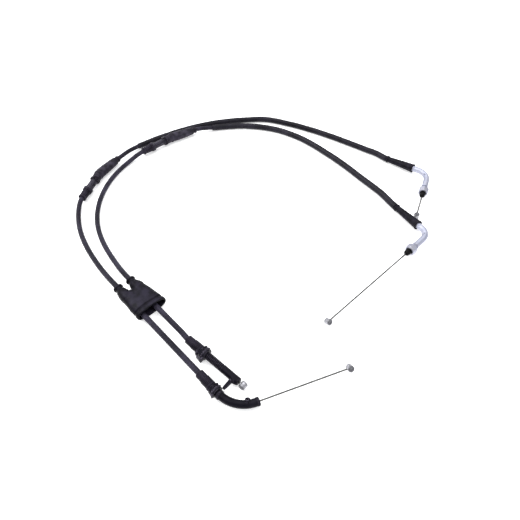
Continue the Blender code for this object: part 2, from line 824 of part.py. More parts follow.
def pull_cable():
    pull_grip_end()
    adjuster("pull", PULL_ADJUSTER_AT, PULL_ADJUSTER_DIRECTION, PULL_COVER_TURN)
    conduit("pull_grip_conduit", grip_conduit_path(
        PULL_ADJUSTER_AT, PULL_ADJUSTER_DIRECTION, PULL_LOOP, PULL_RUN, PULL_STRAIGHT,
        PULL_GRIP_AT, PULL_GRIP_DIRECTION,
    ))
    track = adjuster_track(PULL_ADJUSTER_AT, PULL_ADJUSTER_DIRECTION, PULL_COVER_TURN)
    engine = (PULL_NUT_AT, PULL_ENGINE_IN, PULL_ENGINE_OUT, PULL_LEG_SHOWN)
    engine_side("pull", track, PULL_SWEEP, PULL_SLEEVE_START, PULL_SLEEVE_R, PULL_NIPPLE_DISTANCE, engine)


def return_cable():
    return_grip_end()
    adjuster("return", RETURN_ADJUSTER_AT, RETURN_ADJUSTER_DIRECTION, RETURN_COVER_TURN)
    conduit("return_grip_conduit", grip_conduit_path(
        RETURN_ADJUSTER_AT, RETURN_ADJUSTER_DIRECTION, RETURN_LOOP, RETURN_RUN, RETURN_STRAIGHT,
        RETURN_GRIP_AT, RUN,
    ))
    track = adjuster_track(RETURN_ADJUSTER_AT, RETURN_ADJUSTER_DIRECTION, RETURN_COVER_TURN)
    engine = (RETURN_NUT_AT, RETURN_ENGINE_IN, RETURN_ENGINE_OUT, RETURN_LEG_SHOWN)
    engine_side(
        "return", track, RETURN_SWEEP, RETURN_SLEEVE_START, RETURN_SLEEVE_R, RETURN_NIPPLE_DISTANCE, engine
    )


clear_scene()
pull_cable()
return_cable()
cable_boot()
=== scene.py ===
"""The looks of the throttle cable pair: every CAD node is replaced by a detailed piece on the same body.

Lengths are in millimetres on the bench plan that part.py uses, and to_row turns a plan point into the row
frame in metres. The camera and the cords come first; then the grip ends, the adjusters, the engine ends,
the two-necked boot, the bench and the lights. An outline is a list of (radius, station) points.
"""

import math

import bmesh
import bpy
import numpy as np
from mathutils import Matrix, Vector


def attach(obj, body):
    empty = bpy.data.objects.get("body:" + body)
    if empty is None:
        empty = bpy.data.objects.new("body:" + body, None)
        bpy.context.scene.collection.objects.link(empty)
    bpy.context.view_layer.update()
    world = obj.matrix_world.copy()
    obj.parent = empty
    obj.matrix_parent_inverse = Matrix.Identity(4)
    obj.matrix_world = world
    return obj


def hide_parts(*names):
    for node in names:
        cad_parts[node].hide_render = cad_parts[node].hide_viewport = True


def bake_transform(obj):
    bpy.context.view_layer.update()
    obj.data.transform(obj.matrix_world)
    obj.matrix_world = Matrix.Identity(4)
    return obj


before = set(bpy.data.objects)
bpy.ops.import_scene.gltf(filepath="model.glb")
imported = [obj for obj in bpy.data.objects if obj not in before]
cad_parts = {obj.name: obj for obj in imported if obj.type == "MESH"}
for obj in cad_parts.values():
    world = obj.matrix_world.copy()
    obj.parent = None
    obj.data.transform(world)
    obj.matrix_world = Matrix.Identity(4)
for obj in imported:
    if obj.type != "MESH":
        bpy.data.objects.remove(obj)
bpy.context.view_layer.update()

MM = 0.001
ORIGIN = Vector((-3.1, 34.5, 0.09))
UP = Vector((0.0, 0.0, 1.0))

# Sizes shared with part.py
CONDUIT_R = 2.75
WIRE_R = 0.75
NIPPLE_R = 3.0
NIPPLE_LENGTH = 7.5
TAIL_MARGIN = 2.0
PULL_STROKE = 11.0
GUIDE_R = 3.75
GUIDE_BORE_R = 1.6
GUIDE_SPIGOT_R = 2.8
SPIGOT_START = 9.3
NUT_START = 17.9
NUT_END = 24.2
PULL_GUIDE_LENGTH = 63.0
PULL_WIRE_LENGTH = 4.6
RETURN_WIRE_LENGTH = 86.5
RETURN_BEND_START = 26.1
RETURN_BEND_R = 29.0
RETURN_MOUTH_STRAIGHT = 3.0
PIN_BEND_SHARE = 0.795
ARM_STATION = 56.8
ARM_REACH = 13.0
BOOT_PITCH = 14.5
BOOT_LENGTH = 45.5
CAP_END = 14.7
CAP_SOCKET = 11.3
COLLAR_END = 17.2
BARREL_END = 32.3
LOCK_NUT_END = 36.3
COVER_START = 43.0
SCREW_END = 44.0
BODY_SOCKET = 45.5
BODY_END = 50.0
COVER_BEND_START = 49.0
COVER_BEND_END = 63.0
ADJUSTER_LENGTH = 82.5
ENGINE_BOOT_LENGTH = 37.0
ELBOW_BEND_R = 13.0
ELBOW_R = 3.45
ELBOW_BORE_R = 1.9
ELBOW_LEG = 20.0
ELBOW_SPIGOT = 5.0
CORNER_TO_NUT = 32.0
NUT_HALF = 3.5
SEAL_END = 10.5
GAP = 0.3

# Sizes that only the looks use
POINT_STEP = 2.0
AXIS_R = 0.02  # where an outline closes on its own axis
SLIP_R = 3.05  # bore that a conduit slips into
THROUGH_R = 1.5  # bore that only the wire runs through
PIN_LEAN = 1.7
ARM_WIDTH = 4.2
ARM_THICKNESS = 2.6
STRANDS = 12
STRAND_R = 0.15
LAY_LENGTH = 13.0
RIDGE_PITCH = 2.3
COVER_CUT_IN = 1.8
SHARP_ANGLE = 32.0
MIN_CORNER = 12.0
BOOT_VOXEL = 0.36


def plan(angle, pitch=0.0):
    """Unit vector at an angle on the plan, in degrees from +X, rising by a pitch in degrees."""
    a, p = math.radians(angle), math.radians(pitch)
    return Vector((math.cos(a) * math.cos(p), math.sin(a) * math.cos(p), math.sin(p)))


RUN = plan(-45.9)
ACROSS = UP.cross(RUN)
RIMS = Vector((-137.4, -37.2, 7.3))
PULL_RUN = RIMS + ACROSS * (BOOT_PITCH / 2)
RETURN_RUN = RIMS - ACROSS * (BOOT_PITCH / 2)
RUN_LEAD = 3.0
PULL_STRAIGHT = 85.0
RETURN_STRAIGHT = 128.9
PULL_GRIP_AT = Vector((-65.9, -101.2, 7.6))
PULL_GRIP_DIRECTION = plan(-40.5, -2.0)
RETURN_GRIP_AT = RETURN_RUN + RUN * RETURN_STRAIGHT
RETURN_MOUTH_DIRECTION = plan(21.5, -2.2)

# Routes of the free stretches, between one fitting's mouth and the next, as part.py has them
PULL_LOOP = [
    (-168.6, 167.0, 4.2), (-180.4, 147.0, 3.1), (-187.5, 127.0, 3.0), (-192.0, 90.5, 3.0),
    (-187.5, 57.0, 3.0), (-174.5, 25.5, 3.0), (-155.5, -3.5, 3.8),
]
RETURN_LOOP = [
    (-213.4, 79.5, 5.0), (-211.2, 65.0, 3.2), (-203.0, 41.0, 3.0), (-186.0, 11.0, 3.0), (-165.0, -17.0, 4.0),
]
PULL_SWEEP = [
    (-66.0, 239.5, 5.0), (-28.4, 245.0, 4.2), (-7.0, 243.5, 4.2), (20.7, 236.5, 4.2), (42.6, 225.0, 4.2),
    (64.3, 208.0, 4.2), (83.7, 187.3, 4.2), (101.6, 166.2, 4.2), (117.6, 144.5, 4.2), (132.6, 123.2, 4.2),
    (147.6, 101.4, 4.4),
]
RETURN_SWEEP = [
    (-171.5, 188.5, 5.4), (-161.5, 199.0, 4.4), (-137.5, 217.0, 4.2), (-103.5, 237.0, 4.2),
    (-76.5, 248.5, 4.2), (-46.5, 256.5, 4.2), (-11.6, 261.0, 4.2), (6.0, 261.5, 4.2), (24.4, 256.8, 4.2),
    (42.8, 249.5, 4.2), (72.8, 234.8, 4.2), (111.1, 211.2, 4.2), (144.0, 188.4, 4.3), (157.0, 178.2, 4.6),
]

ADJUSTERS = {
    "pull": {"at": Vector((-154.6, 181.4, 7.2)), "direction": plan(43.0), "turn": 16.5},
    "return": {"at": Vector((-212.2, 90.0, 7.2)), "direction": plan(77.0), "turn": 21.5},
}
# "swept" is the bend radius of the visible elbow, and "tilt" rolls the nipple on its wire, in degrees
ENGINES = {
    "pull": {
        "nut_at": Vector((162.6, 8.9, 7.5)), "into": plan(-61.0, 4.2), "out": plan(-137.8, -1.9),
        "leg": 6.0, "swept": 14.0, "nipple": 131.5, "tilt": 28.0,
    },
    "return": {
        "nut_at": Vector((197.6, 102.6, 7.5)), "into": plan(-40.0, 4.8), "out": plan(-112.5, -4.0),
        "leg": 10.5, "swept": 17.5, "nipple": 42.5, "tilt": -88.0,
    },
}


# ---- paths

def to_row(point):
    """A plan point in the row frame, in metres."""
    return (Vector(point) - ORIGIN) * MM


def axis_frame(point, direction):
    """Frame with +Z along a direction and +X level, as part.py has it."""
    z = direction.normalized()
    x = UP.cross(z).normalized()
    y = z.cross(x)
    return Matrix.Translation(point) @ Matrix((x, y, z)).transposed().to_4x4()


def hermite(t, chord, start, leaving, end, arriving):
    """Point at a share t of the cubic between two points with the given slopes."""
    return ((1 + 2 * t) * (1 - t) ** 2 * start + t * (1 - t) ** 2 * chord * leaving
            + t * t * (3 - 2 * t) * end + t * t * (t - 1) * chord * arriving)


def smooth_stretch(points, start_direction, end_direction):
    """Points every POINT_STEP or less on part.py's cubic spline through a route."""
    route = np.array([list(p) for p in points], float)
    chords = np.linalg.norm(np.diff(route, axis=0), axis=1)
    count = len(route)
    system = np.zeros((count, count))
    target = np.zeros((count, 3))
    system[0, 0] = system[-1, -1] = 1.0
    target[0], target[-1] = start_direction, end_direction
    for i in range(1, count - 1):
        before, after = chords[i - 1], chords[i]
        system[i, i - 1:i + 2] = after, 2.0 * (before + after), before
        rise_before = (route[i] - route[i - 1]) / before
        rise_after = (route[i + 1] - route[i]) / after
        target[i] = 3.0 * (after * rise_before + before * rise_after)
    slopes = np.linalg.solve(system, target)
    result = [Vector(route[0])]
    for i, chord in enumerate(chords):
        pieces = max(1, math.ceil(chord / POINT_STEP))
        result.extend(Vector(hermite(k / pieces, chord, route[i], slopes[i], route[i + 1], slopes[i + 1]))
                      for k in range(1, pieces + 1))
    return result


def straight_stretch(start, end):
    pieces = max(1, math.ceil((end - start).length / POINT_STEP))
    return [start.lerp(end, k / pieces) for k in range(pieces + 1)]


def bend(start, heading, leaving, radius, pieces=28):
    """Points on the arc that turns one direction into another."""
    axis = heading.cross(leaving).normalized()
    total = heading.angle(leaving)
    centre = start + axis.cross(heading) * radius
    spoke = start - centre
    return [centre + Matrix.Rotation(total * k / pieces, 3, axis) @ spoke for k in range(pieces + 1)]


def joined(*stretches):
    path = list(stretches[0])
    for stretch in stretches[1:]:
        path.extend(stretch[1:])
    return path


class Track:
    """A centre line that rings are set square to, measured in millimetres from its start."""

    def __init__(self, points):
        self.points = np.array([list(p) for p in points], float)
        steps = np.linalg.norm(np.diff(self.points, axis=0), axis=1)
        self.at = np.concatenate([[0.0], np.cumsum(steps)])
        self.length = float(self.at[-1])

    def place(self, station):
        """Points at stations; before the start and past the end the line goes straight on."""
        s = np.asarray(station, float)
        inside = np.clip(s, 0.0, self.length)
        result = np.stack([np.interp(inside, self.at, self.points[:, k]) for k in range(3)], axis=-1)
        first = self.points[1] - self.points[0]
        last = self.points[-1] - self.points[-2]
        result += np.minimum(s, 0.0)[..., None] * (first / np.linalg.norm(first))
        result += np.maximum(s - self.length, 0.0)[..., None] * (last / np.linalg.norm(last))
        return result

    def axes(self, station, reach=0.6):
        """Direction, level side and upper side at stations."""
        s = np.asarray(station, float)
        ahead = self.place(s + reach) - self.place(s - reach)
        ahead /= np.linalg.norm(ahead, axis=-1, keepdims=True)
        side = np.cross(np.array([0.0, 0.0, 1.0]), ahead)
        side /= np.linalg.norm(side, axis=-1, keepdims=True)
        return ahead, side, np.cross(ahead, side)


def straight_track(point, direction, length=100.0):
    return Track([point, point + direction.normalized() * length])


# ---- meshes

def linked(name, data):
    obj = bpy.data.objects.new(name, data)
    bpy.context.scene.collection.objects.link(obj)
    return obj


def mesh_from_rings(rings, lengths, closed):
    """Quads between equal rings of vertices, with a UV of turn share and length along, in metres."""
    count, facets, _ = rings.shape
    faces, uvs = [], []
    for r in range(count if closed else count - 1):
        n = (r + 1) % count
        v0 = lengths[r]
        v1 = lengths[n] if n else lengths[r]
        for i in range(facets):
            j = (i + 1) % facets
            faces.append((r * facets + i, r * facets + j, n * facets + j, n * facets + i))
            u0, u1 = i / facets, (i + 1) / facets
            uvs.extend(((u0, v0), (u1, v0), (u1, v1), (u0, v1)))
    if not closed:
        faces.append(tuple(range(facets)))
        faces.append(tuple(range((count - 1) * facets, count * facets)))
        uvs.extend([(0.5, lengths[0])] * facets + [(0.5, lengths[-1])] * facets)
    mesh = bpy.data.meshes.new("rings")
    mesh.from_pydata([tuple(v) for v in rings.reshape(-1, 3)], [], faces)
    layer = mesh.uv_layers.new(name="UVMap")
    layer.data.foreach_set("uv", np.array(uvs, np.float32).ravel())
    return mesh


def finished(name, meshes, place, material, node, body="cables", sharp=SHARP_ANGLE):
    """One piece from plan-frame meshes: row frame, outward faces, smooth with sharp edges, riding on its body."""
    bm = bmesh.new()
    for mesh in meshes:
        bm.from_mesh(mesh)
        bpy.data.meshes.remove(mesh)
    bmesh.ops.recalc_face_normals(bm, faces=bm.faces)
    home = Matrix.Translation(to_row(place.to_translation())) @ place.to_quaternion().to_matrix().to_4x4()
    inverse = home.inverted()
    for vert in bm.verts:
        vert.co = inverse @ to_row(vert.co)
    mesh = bpy.data.meshes.new(name)
    bm.to_mesh(mesh)
    bm.free()
    mesh.shade_smooth()
    mesh.set_sharp_from_angle(angle=math.radians(sharp))
    mesh.materials.append(material)
    obj = linked(name, mesh)
    obj.matrix_world = home
    if body:
        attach(obj, body)
    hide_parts(node)
    return obj


def lathed(track, outline, facets, shape=None, closed=True):
    """Mesh turned about a track from an outline; shape may change each radius."""
    radii = np.array([r for r, _ in outline], float)
    stations = np.array([s for _, s in outline], float)
    angles = np.arange(facets) * math.tau / facets
    reach = np.repeat(radii[:, None], facets, axis=1)
    if shape:
        reach = shape(reach, stations[:, None], angles[None, :])
    centre = track.place(stations)
    _, side, other = track.axes(stations)
    spoke = side[:, None, :] * np.cos(angles)[None, :, None] + other[:, None, :] * np.sin(angles)[None, :, None]
    rings = centre[:, None, :] + spoke * reach[:, :, None]
    travel = np.abs(np.diff(stations)) + np.abs(np.diff(radii))
    lengths = np.concatenate([[0.0], np.cumsum(travel)]) * MM
    return mesh_from_rings(rings, lengths, closed)


def rod(track, outline, facets, fillet=0.0, shape=None):
    """A turned solid whose outline starts and ends on the axis."""
    if fillet:
        outline = rounded(outline, fillet, closed=False)
    return lathed(track, outline, facets, shape, closed=False)


def rounded(outline, fillet, steps=3, closed=True):
    """The outline with its corners turned into small curves."""
    points = [np.array(p, float) for p in outline]
    count = len(points)
    result = []
    for i, here in enumerate(points):
        before, after = points[i - 1] - here, points[(i + 1) % count] - here
        back, on = np.linalg.norm(before), np.linalg.norm(after)
        turn = math.pi - math.acos(np.clip(np.dot(before, after) / (back * on), -1, 1))
        if turn < math.radians(MIN_CORNER) or (not closed and i in (0, count - 1)):
            result.append(tuple(here))
            continue
        cut = min(fillet, 0.45 * back, 0.45 * on)
        first, last = here + before / back * cut, here + after / on * cut
        for k in range(steps + 1):
            t = k / steps
            result.append(tuple((1 - t) ** 2 * first + 2 * t * (1 - t) * here + t * t * last))
    return result


def past(base, *points):
    """Outline points whose stations are counted from a base station."""
    return [(radius, base + station) for radius, station in points]


def dense(outline, start, end, step):
    """The outline with points every step where it runs between two stations."""
    result = []
    for (r0, s0), (r1, s1) in zip(outline, outline[1:] + outline[:1]):
        result.append((r0, s0))
        low, high = min(s0, s1), max(s0, s1)
        if high - low > step and low >= start - 1e-6 and high <= end + 1e-6:
            pieces = math.ceil((high - low) / step)
            result.extend((r0 + (r1 - r0) * k / pieces, s0 + (s1 - s0) * k / pieces) for k in range(1, pieces))
    return result


def ribs(start, end, count, radius_start, radius_end, depth):
    """Outline points of rounded ribs with grooves between them."""
    pitch = (end - start) / count
    profile = ((0.0, depth), (0.16, 0.2 * depth), (0.34, 0.0), (0.62, 0.0), (0.82, 0.25 * depth))
    points = []
    for k in range(count):
        for share, down in profile:
            s = start + (k + share) * pitch
            radius = radius_start + (radius_end - radius_start) * (s - start) / (end - start)
            points.append((radius - down, s))
    return [*points, (radius_end - depth, end)]


# ---- shapes: (radius, station, angle) to radius

def ramp(value, start, width):
    """0 before the start, rising to 1 over the width."""
    return np.clip((value - start) / width, 0, 1)


def hump(value, centre, width):
    return np.exp(-((value - centre) / width) ** 2)


def grown(over, growth):
    """Moves the surface out by growth(station, angle) where it stands farther out than a radius."""
    return lambda reach, station, angle: np.where(reach > over, reach + growth(station, angle), reach)


def hexagon(half_flats, start, end):
    """Cuts a turned blank to a hexagon between two stations, which leaves chamfered corners."""
    def shape(reach, station, angle):
        off_flat = (angle + math.pi / 6) % (math.pi / 3) - math.pi / 6
        inside = (station >= start) & (station <= end) & (reach > half_flats * 0.96)
        return np.where(inside, np.minimum(reach, half_flats / np.cos(off_flat)), reach)
    return shape


def thread(start, end, pitch, depth, outside):
    """Cuts a helical groove into the outer skin between two stations, fading out at both."""
    def groove(station, angle):
        turn = (station / pitch - angle / math.tau) % 1.0
        fade = ramp(station, start, pitch) * ramp(end - station, 0.0, pitch)
        return -depth * np.clip(1.0 - np.abs(turn * 2.0 - 1.0) * 1.15, 0.0, 1.0) * fade
    return grown(outside - 0.5, groove)


def flutes(start, end, count, depth, outside):
    """Cuts lengthwise flutes into the outer skin between two stations."""
    def groove(station, angle):
        return -depth * np.clip(np.cos(angle * count), 0.0, 1.0) ** 2 * ((station > start) & (station < end))
    return grown(outside - 0.6, groove)


def wavy(start, end, amount, turns, outside):
    """Gives a soft moulding a slow, uneven waviness."""
    def wave(station, angle):
        waves = np.sin(angle * 2 + station * 0.35) + 0.6 * np.sin(angle * 3 - station * turns)
        return amount * waves * ((station > start) & (station < end))
    return grown(outside, wave)


def squared(half_width, half_thickness):
    """Turns a rod of radius 1 into a bar of rounded rectangular section: width along the level axis."""
    def shape(reach, station, angle):
        wide = half_width(station) if callable(half_width) else half_width
        sides = np.abs(np.cos(angle) / wide) ** 5 + np.abs(np.sin(angle) / half_thickness) ** 5
        return reach / sides ** 0.2
    return shape


def both(*shapes):
    """One shape after another."""
    def shape(reach, station, angle):
        for one in shapes:
            reach = one(reach, station, angle)
        return reach
    return shape


def stranded(track, start, end):
    """Wire rope: a ring of strands laid in a long helix."""
    count = max(3, math.ceil((end - start) / 0.9) + 1)
    pitch_r = WIRE_R - STRAND_R

    def laid(reach, station, angle):
        lay = angle - station / LAY_LENGTH * math.tau
        width = math.tau / STRANDS
        off = (lay + width / 2) % width - width / 2
        rise = np.maximum(STRAND_R ** 2 - (pitch_r * np.sin(off)) ** 2, 0.0)
        return pitch_r * np.cos(off) + np.sqrt(rise)
    outline = [(WIRE_R, s) for s in np.linspace(start, end, count)]
    return lathed(track, outline, STRANDS * 6, laid, closed=False)


# ---- materials

def tone(base, share):
    return tuple(c * share for c in base)


class Graph:
    """Short way to wire a procedural material."""

    def __init__(self, name):
        self.material = bpy.data.materials.new(name)
        self.material.use_nodes = True
        tree = self.material.node_tree
        self.nodes, self.links = tree.nodes, tree.links
        self.shader = self.nodes["Principled BSDF"]
        self.object = self.nodes.new("ShaderNodeTexCoord").outputs["Object"]

    def node(self, kind, inputs, **settings):
        made = self.nodes.new(kind)
        for key, value in settings.items():
            setattr(made, key, value)
        for key, value in inputs.items():
            self.feed(made, key, value)
        return made

    def feed(self, node, key, value):
        if isinstance(value, bpy.types.NodeSocket):
            self.links.new(value, node.inputs[key])
        else:
            node.inputs[key].default_value = value

    def math(self, operation, first, second=0.0):
        return self.node("ShaderNodeMath", {0: first, 1: second}, operation=operation).outputs[0]

    def times(self, first, second):
        return self.math("MULTIPLY", first, second)

    def noise(self, size_mm, detail, stretch=(1.0, 1.0, 1.0), roughness=0.55):
        mapped = self.node("ShaderNodeMapping", {"Vector": self.object, "Scale": stretch})
        made = self.node("ShaderNodeTexNoise", {
            "Vector": mapped.outputs[0], "Scale": 1.0 / (size_mm * MM), "Detail": detail, "Roughness": roughness,
        })
        return made.outputs["Fac"]

    def span(self, value, low, high, to_low=0.0, to_high=1.0):
        return self.node("ShaderNodeMapRange", {
            "Value": value, "From Min": low, "From Max": high, "To Min": to_low, "To Max": to_high,
        }).outputs[0]

    def mixed(self, share, first, second):
        made = self.node("ShaderNodeMix", {"Factor": share}, data_type="RGBA")
        for key, value in ((6, first), (7, second)):
            self.feed(made, key, value if isinstance(value, bpy.types.NodeSocket) else (*value, 1.0))
        return made.outputs[2]

    def pointed(self, low, high, to_low=0.0, to_high=1.0):
        """Share of convex edge at a point, for wear and painted edge highlight, or of hollow, for painted shade, when
        it runs from 1 to 0.
        """
        return self.span(self.nodes.new("ShaderNodeNewGeometry").outputs["Pointiness"], low, high, to_low, to_high)

    def part_of(self, vector, axis):
        return self.node("ShaderNodeSeparateXYZ", {0: vector}).outputs[axis]

    def bumped(self, *layers):
        """Bump from (height, depth in mm) layers, one over the other."""
        normal = None
        for height, depth in layers:
            inputs = {"Height": height, "Strength": 1.0, "Distance": depth * MM}
            if normal is not None:
                inputs["Normal"] = normal
            normal = self.node("ShaderNodeBump", inputs).outputs[0]
        self.feed(self.shader, "Normal", normal)

    def finish(self, colour, roughness, metallic=0.0, specular=0.5):
        for key, value in {"Base Color": colour, "Roughness": roughness, "Metallic": metallic,
                           "Specular IOR Level": specular}.items():
            self.feed(self.shader, key, value)
        return self.material


def jacket_material(name, base, gloss, ridge_depth):
    """Extruded PVC over wound wire: faint slanted ridges, rubbed streaks and dust."""
    g = Graph(name)
    uv = g.nodes.new("ShaderNodeTexCoord").outputs["UV"]
    winding = g.math("ADD", g.times(g.part_of(uv, "Y"), 1.0 / (RIDGE_PITCH * MM)), g.part_of(uv, "X"))
    ridge = g.math("SINE", g.times(winding, math.tau))
    broad, fine = g.noise(30.0, 3.0), g.noise(0.5, 3.0)
    streak = g.noise(2.4, 5.0, stretch=(1.0, 1.0, 0.35))
    patch = g.noise(5.5, 4.0, roughness=0.6)
    rubbed = g.span(streak, 0.56, 0.74)
    colour = g.mixed(g.span(broad, 0.38, 0.62), tone(base, 0.50), tone(base, 1.75))
    colour = g.mixed(g.span(patch, 0.45, 0.62, 0.0, 0.55), colour, tone(base, 0.45))
    colour = g.mixed(g.times(g.span(ridge, 0.2, 0.9), 0.30), colour, tone(base, 2.2))
    colour = g.mixed(g.times(rubbed, 0.45), colour, tone(base, 2.6))
    rough = g.math("ADD", g.span(broad, 0.3, 0.7, gloss - 0.05, gloss + 0.06), g.times(rubbed, 0.12))
    g.bumped((ridge, ridge_depth), (fine, 0.02), (streak, 0.03))
    return g.finish(colour, rough, specular=0.11)


def rubber_material(name, base, roughness, painted_top_light=False):
    """Moulded rubber: grain, mottling, bloom and a painted highlight on the edges, and painted shade in the hollows.
    The last switch paints light from above: a paler, dust-mottled top and painted shade on the sides.
    """
    g = Graph(name)
    broad, grain, pores = g.noise(9.0, 4.0), g.noise(0.34, 2.0), g.noise(1.3, 6.0, roughness=0.7)
    # Convex edges and rims are made paler: partly rubber bloom, partly a painted highlight on the edges.
    bloom_and_edge_highlight = g.times(g.pointed(0.51, 0.60), g.span(pores, 0.35, 0.65, 0.2, 1.0))
    # Painted shade: concave places such as grooves, creases and the fork are darkened further down.
    hollow = g.pointed(0.455, 0.495, 1.0, 0.0)
    colour = g.mixed(g.span(broad, 0.38, 0.62), tone(base, 0.45), tone(base, 1.60))
    colour = g.mixed(g.times(bloom_and_edge_highlight, 0.8), colour, tone(base, 3.4))
    colour = g.mixed(g.span(pores, 0.58, 0.74, 0.0, 0.5), colour, tone(base, 2.4))
    if painted_top_light:
        # Painted light from above: faces that do not point up are darkened as painted shade, and up-facing faces get
        # paler patches, partly dust and partly painted top light.
        normal = g.nodes.new("ShaderNodeTexCoord").outputs["Normal"]
        upward = g.span(g.part_of(normal, "Y"), 0.70, 0.99)
        colour = g.mixed(g.math("SUBTRACT", 0.62, g.times(upward, 0.62)), colour, tone(base, 0.22))
        top_light_and_dust = g.times(upward, g.span(broad, 0.42, 0.64, 0.10, 0.70))
        colour = g.mixed(top_light_and_dust, colour, tone(base, 2.8))
    # Painted shade in the hollows.
    colour = g.mixed(g.times(hollow, 0.85), colour, tone(base, 0.12))
    g.bumped((pores, 0.07), (grain, 0.035))
    return g.finish(colour, g.span(pores, 0.3, 0.7, roughness - 0.07, roughness + 0.08), specular=0.09)


def moulding_material(name, base, rubbed_colour):
    """Glass-filled nylon: spark-eroded texture, flow marks and rubbed corners."""
    g = Graph(name)
    flow, spark = g.noise(5.0, 3.0, stretch=(1.0, 1.0, 0.4)), g.noise(0.45, 3.0)
    worn = g.times(g.pointed(0.505, 0.55), g.span(flow, 0.4, 0.6, 0.3, 1.0))
    colour = g.mixed(g.span(flow, 0.35, 0.65), tone(base, 0.8), tone(base, 1.3))
    colour = g.mixed(g.times(worn, 0.8), colour, rubbed_colour)
    g.bumped((spark, 0.04), (flow, 0.03))
    return g.finish(colour, g.span(spark, 0.3, 0.7, 0.30, 0.44), specular=0.07)


def black_steel_material(name, dark, light, worn_colour, metallic, specular):
    """Black zinc plate: satin, clouded, bright on worn edges, fine turned lines."""
    g = Graph(name)
    cloud, lines = g.noise(6.0, 4.0), g.noise(0.5, 2.0, stretch=(0.08, 0.08, 1.0))
    chips = g.noise(0.8, 5.0, roughness=0.75)
    colour = g.mixed(g.span(cloud, 0.3, 0.7), dark, light)
    colour = g.mixed(g.times(g.pointed(0.51, 0.57), g.span(chips, 0.44, 0.60)), colour, worn_colour)
    rough = g.math("ADD", g.span(cloud, 0.3, 0.7, 0.26, 0.38), g.span(chips, 0.5, 0.8, 0.0, 0.12))
    g.bumped((lines, 0.02), (chips, 0.015))
    return g.finish(colour, rough, metallic, specular)


def plated_material(name, base, roughness):
    """Bright zinc plate: bluish cloudiness, drawing lines along the tube, dull handling marks, and painted shade that
    darkens the hollows.
    """
    g = Graph(name)
    cloud, marks = g.noise(7.0, 4.0), g.noise(2.2, 6.0, roughness=0.7)
    drawn = g.noise(0.6, 3.0, stretch=(1.0, 1.0, 0.10))
    hollow = g.pointed(0.44, 0.50, 1.0, 0.0)
    blue = (base[0] * 0.88, base[1] * 0.93, base[2] * 1.02)
    colour = g.mixed(g.span(cloud, 0.3, 0.7), blue, base)
    colour = g.mixed(g.span(marks, 0.58, 0.76, 0.0, 0.5), colour, tone(base, 0.72))
    # Painted shade: hollows such as the bead's groove and the inside of the bend are darkened (and made rougher).
    colour = g.mixed(g.times(hollow, 0.75), colour, (0.13, 0.13, 0.17))
    rough = g.math("ADD", g.span(marks, 0.3, 0.7, roughness - 0.06, roughness + 0.08), g.times(hollow, 0.2))
    g.bumped((drawn, 0.012), (marks, 0.02))
    return g.finish(colour, rough, 0.8)


def wire_material(name, dark, light, seam_colour):
    """Galvanised strands: grey, with painted shade darkening the seams between them."""
    g = Graph(name)
    cloud, fine = g.noise(3.0, 4.0), g.noise(0.25, 3.0)
    colour = g.mixed(g.span(cloud, 0.3, 0.7), dark, light)
    # Painted shade in the hollow seams between the strands.
    colour = g.mixed(g.times(g.pointed(0.42, 0.52, 1.0, 0.0), 0.7), colour, seam_colour)
    g.bumped((fine, 0.01))
    return g.finish(colour, g.span(fine, 0.3, 0.7, 0.28, 0.44), 1.0)


def zinc_material(name, dark, light, rubbed_colour, end_stain_and_shade):
    """Die-cast zinc: matt skin with grain, bright rubbed edges, flow stains, and end faces darkened partly by stain and
    partly by painted shade.
    """
    g = Graph(name)
    stain, cast = g.noise(2.5, 4.0), g.noise(0.3, 3.0)
    worn = g.pointed(0.52, 0.60)
    half = NIPPLE_LENGTH / 2
    # The end faces and the barrel's side near both ends are darkened: partly a stain, partly painted shade.
    face = g.span(g.math("ABSOLUTE", g.part_of(g.object, "Z")), (half - 2.3) * MM, (half - 1.1) * MM)
    colour = g.mixed(g.span(stain, 0.32, 0.68), dark, light)
    colour = g.mixed(g.times(worn, 0.5), colour, rubbed_colour)
    colour = g.mixed(g.times(face, 0.8), colour, end_stain_and_shade)
    rough = g.math("SUBTRACT", g.span(cast, 0.3, 0.7, 0.40, 0.54), g.times(worn, 0.15))
    g.bumped((cast, 0.03), (stain, 0.03))
    return g.finish(colour, rough, 1.0)


SOFT_BLACK = (0.0080, 0.0070, 0.0122)
JACKET = jacket_material("jacket_pvc", (0.0190, 0.0170, 0.0275), 0.42, 0.14)
SLEEVE = jacket_material("sleeve_vinyl", (0.0115, 0.0105, 0.0155), 0.36, 0.0)
RUBBER = rubber_material("moulded_rubber", SOFT_BLACK, 0.48)
BOOT_RUBBER = rubber_material("boot_rubber", SOFT_BLACK, 0.48, painted_top_light=True)
COVER = rubber_material("cover_rubber", (0.0280, 0.0250, 0.0360), 0.48)
SEAL = rubber_material("seal_rubber", (0.0035, 0.0035, 0.0040), 0.40)
MOULDING = moulding_material("nylon_moulding", (0.0095, 0.0080, 0.0135), (0.085, 0.074, 0.108))
BLACK = black_steel_material("black_zinc_plate", (0.0036, 0.0030, 0.0062), (0.0090, 0.0078, 0.0130),
                             (0.150, 0.135, 0.180), 0.2, 0.07)
BARREL = black_steel_material("rubbed_zinc_plate", (0.0080, 0.0070, 0.0125), (0.0320, 0.0290, 0.0430),
                              (0.300, 0.280, 0.340), 0.4, 0.24)
PLATED = plated_material("bright_zinc_plate", (0.49, 0.49, 0.56), 0.56)
NUT_PLATE = plated_material("nut_zinc_plate", (0.50, 0.49, 0.545), 0.50)
STEEL = wire_material("galvanised_wire", (0.085, 0.084, 0.080), (0.140, 0.139, 0.133), (0.035, 0.033, 0.028))
ZINC = zinc_material("cast_zinc", (0.29, 0.29, 0.31), (0.42, 0.42, 0.45), (0.55, 0.55, 0.59), (0.100, 0.100, 0.110))


# ---- camera and cords

CAMERA_AT = (0.0, -309.5, 368.85)
CAMERA_TILT = 40.0
LENS = 31.0
SENSOR_WIDTH = 36.0


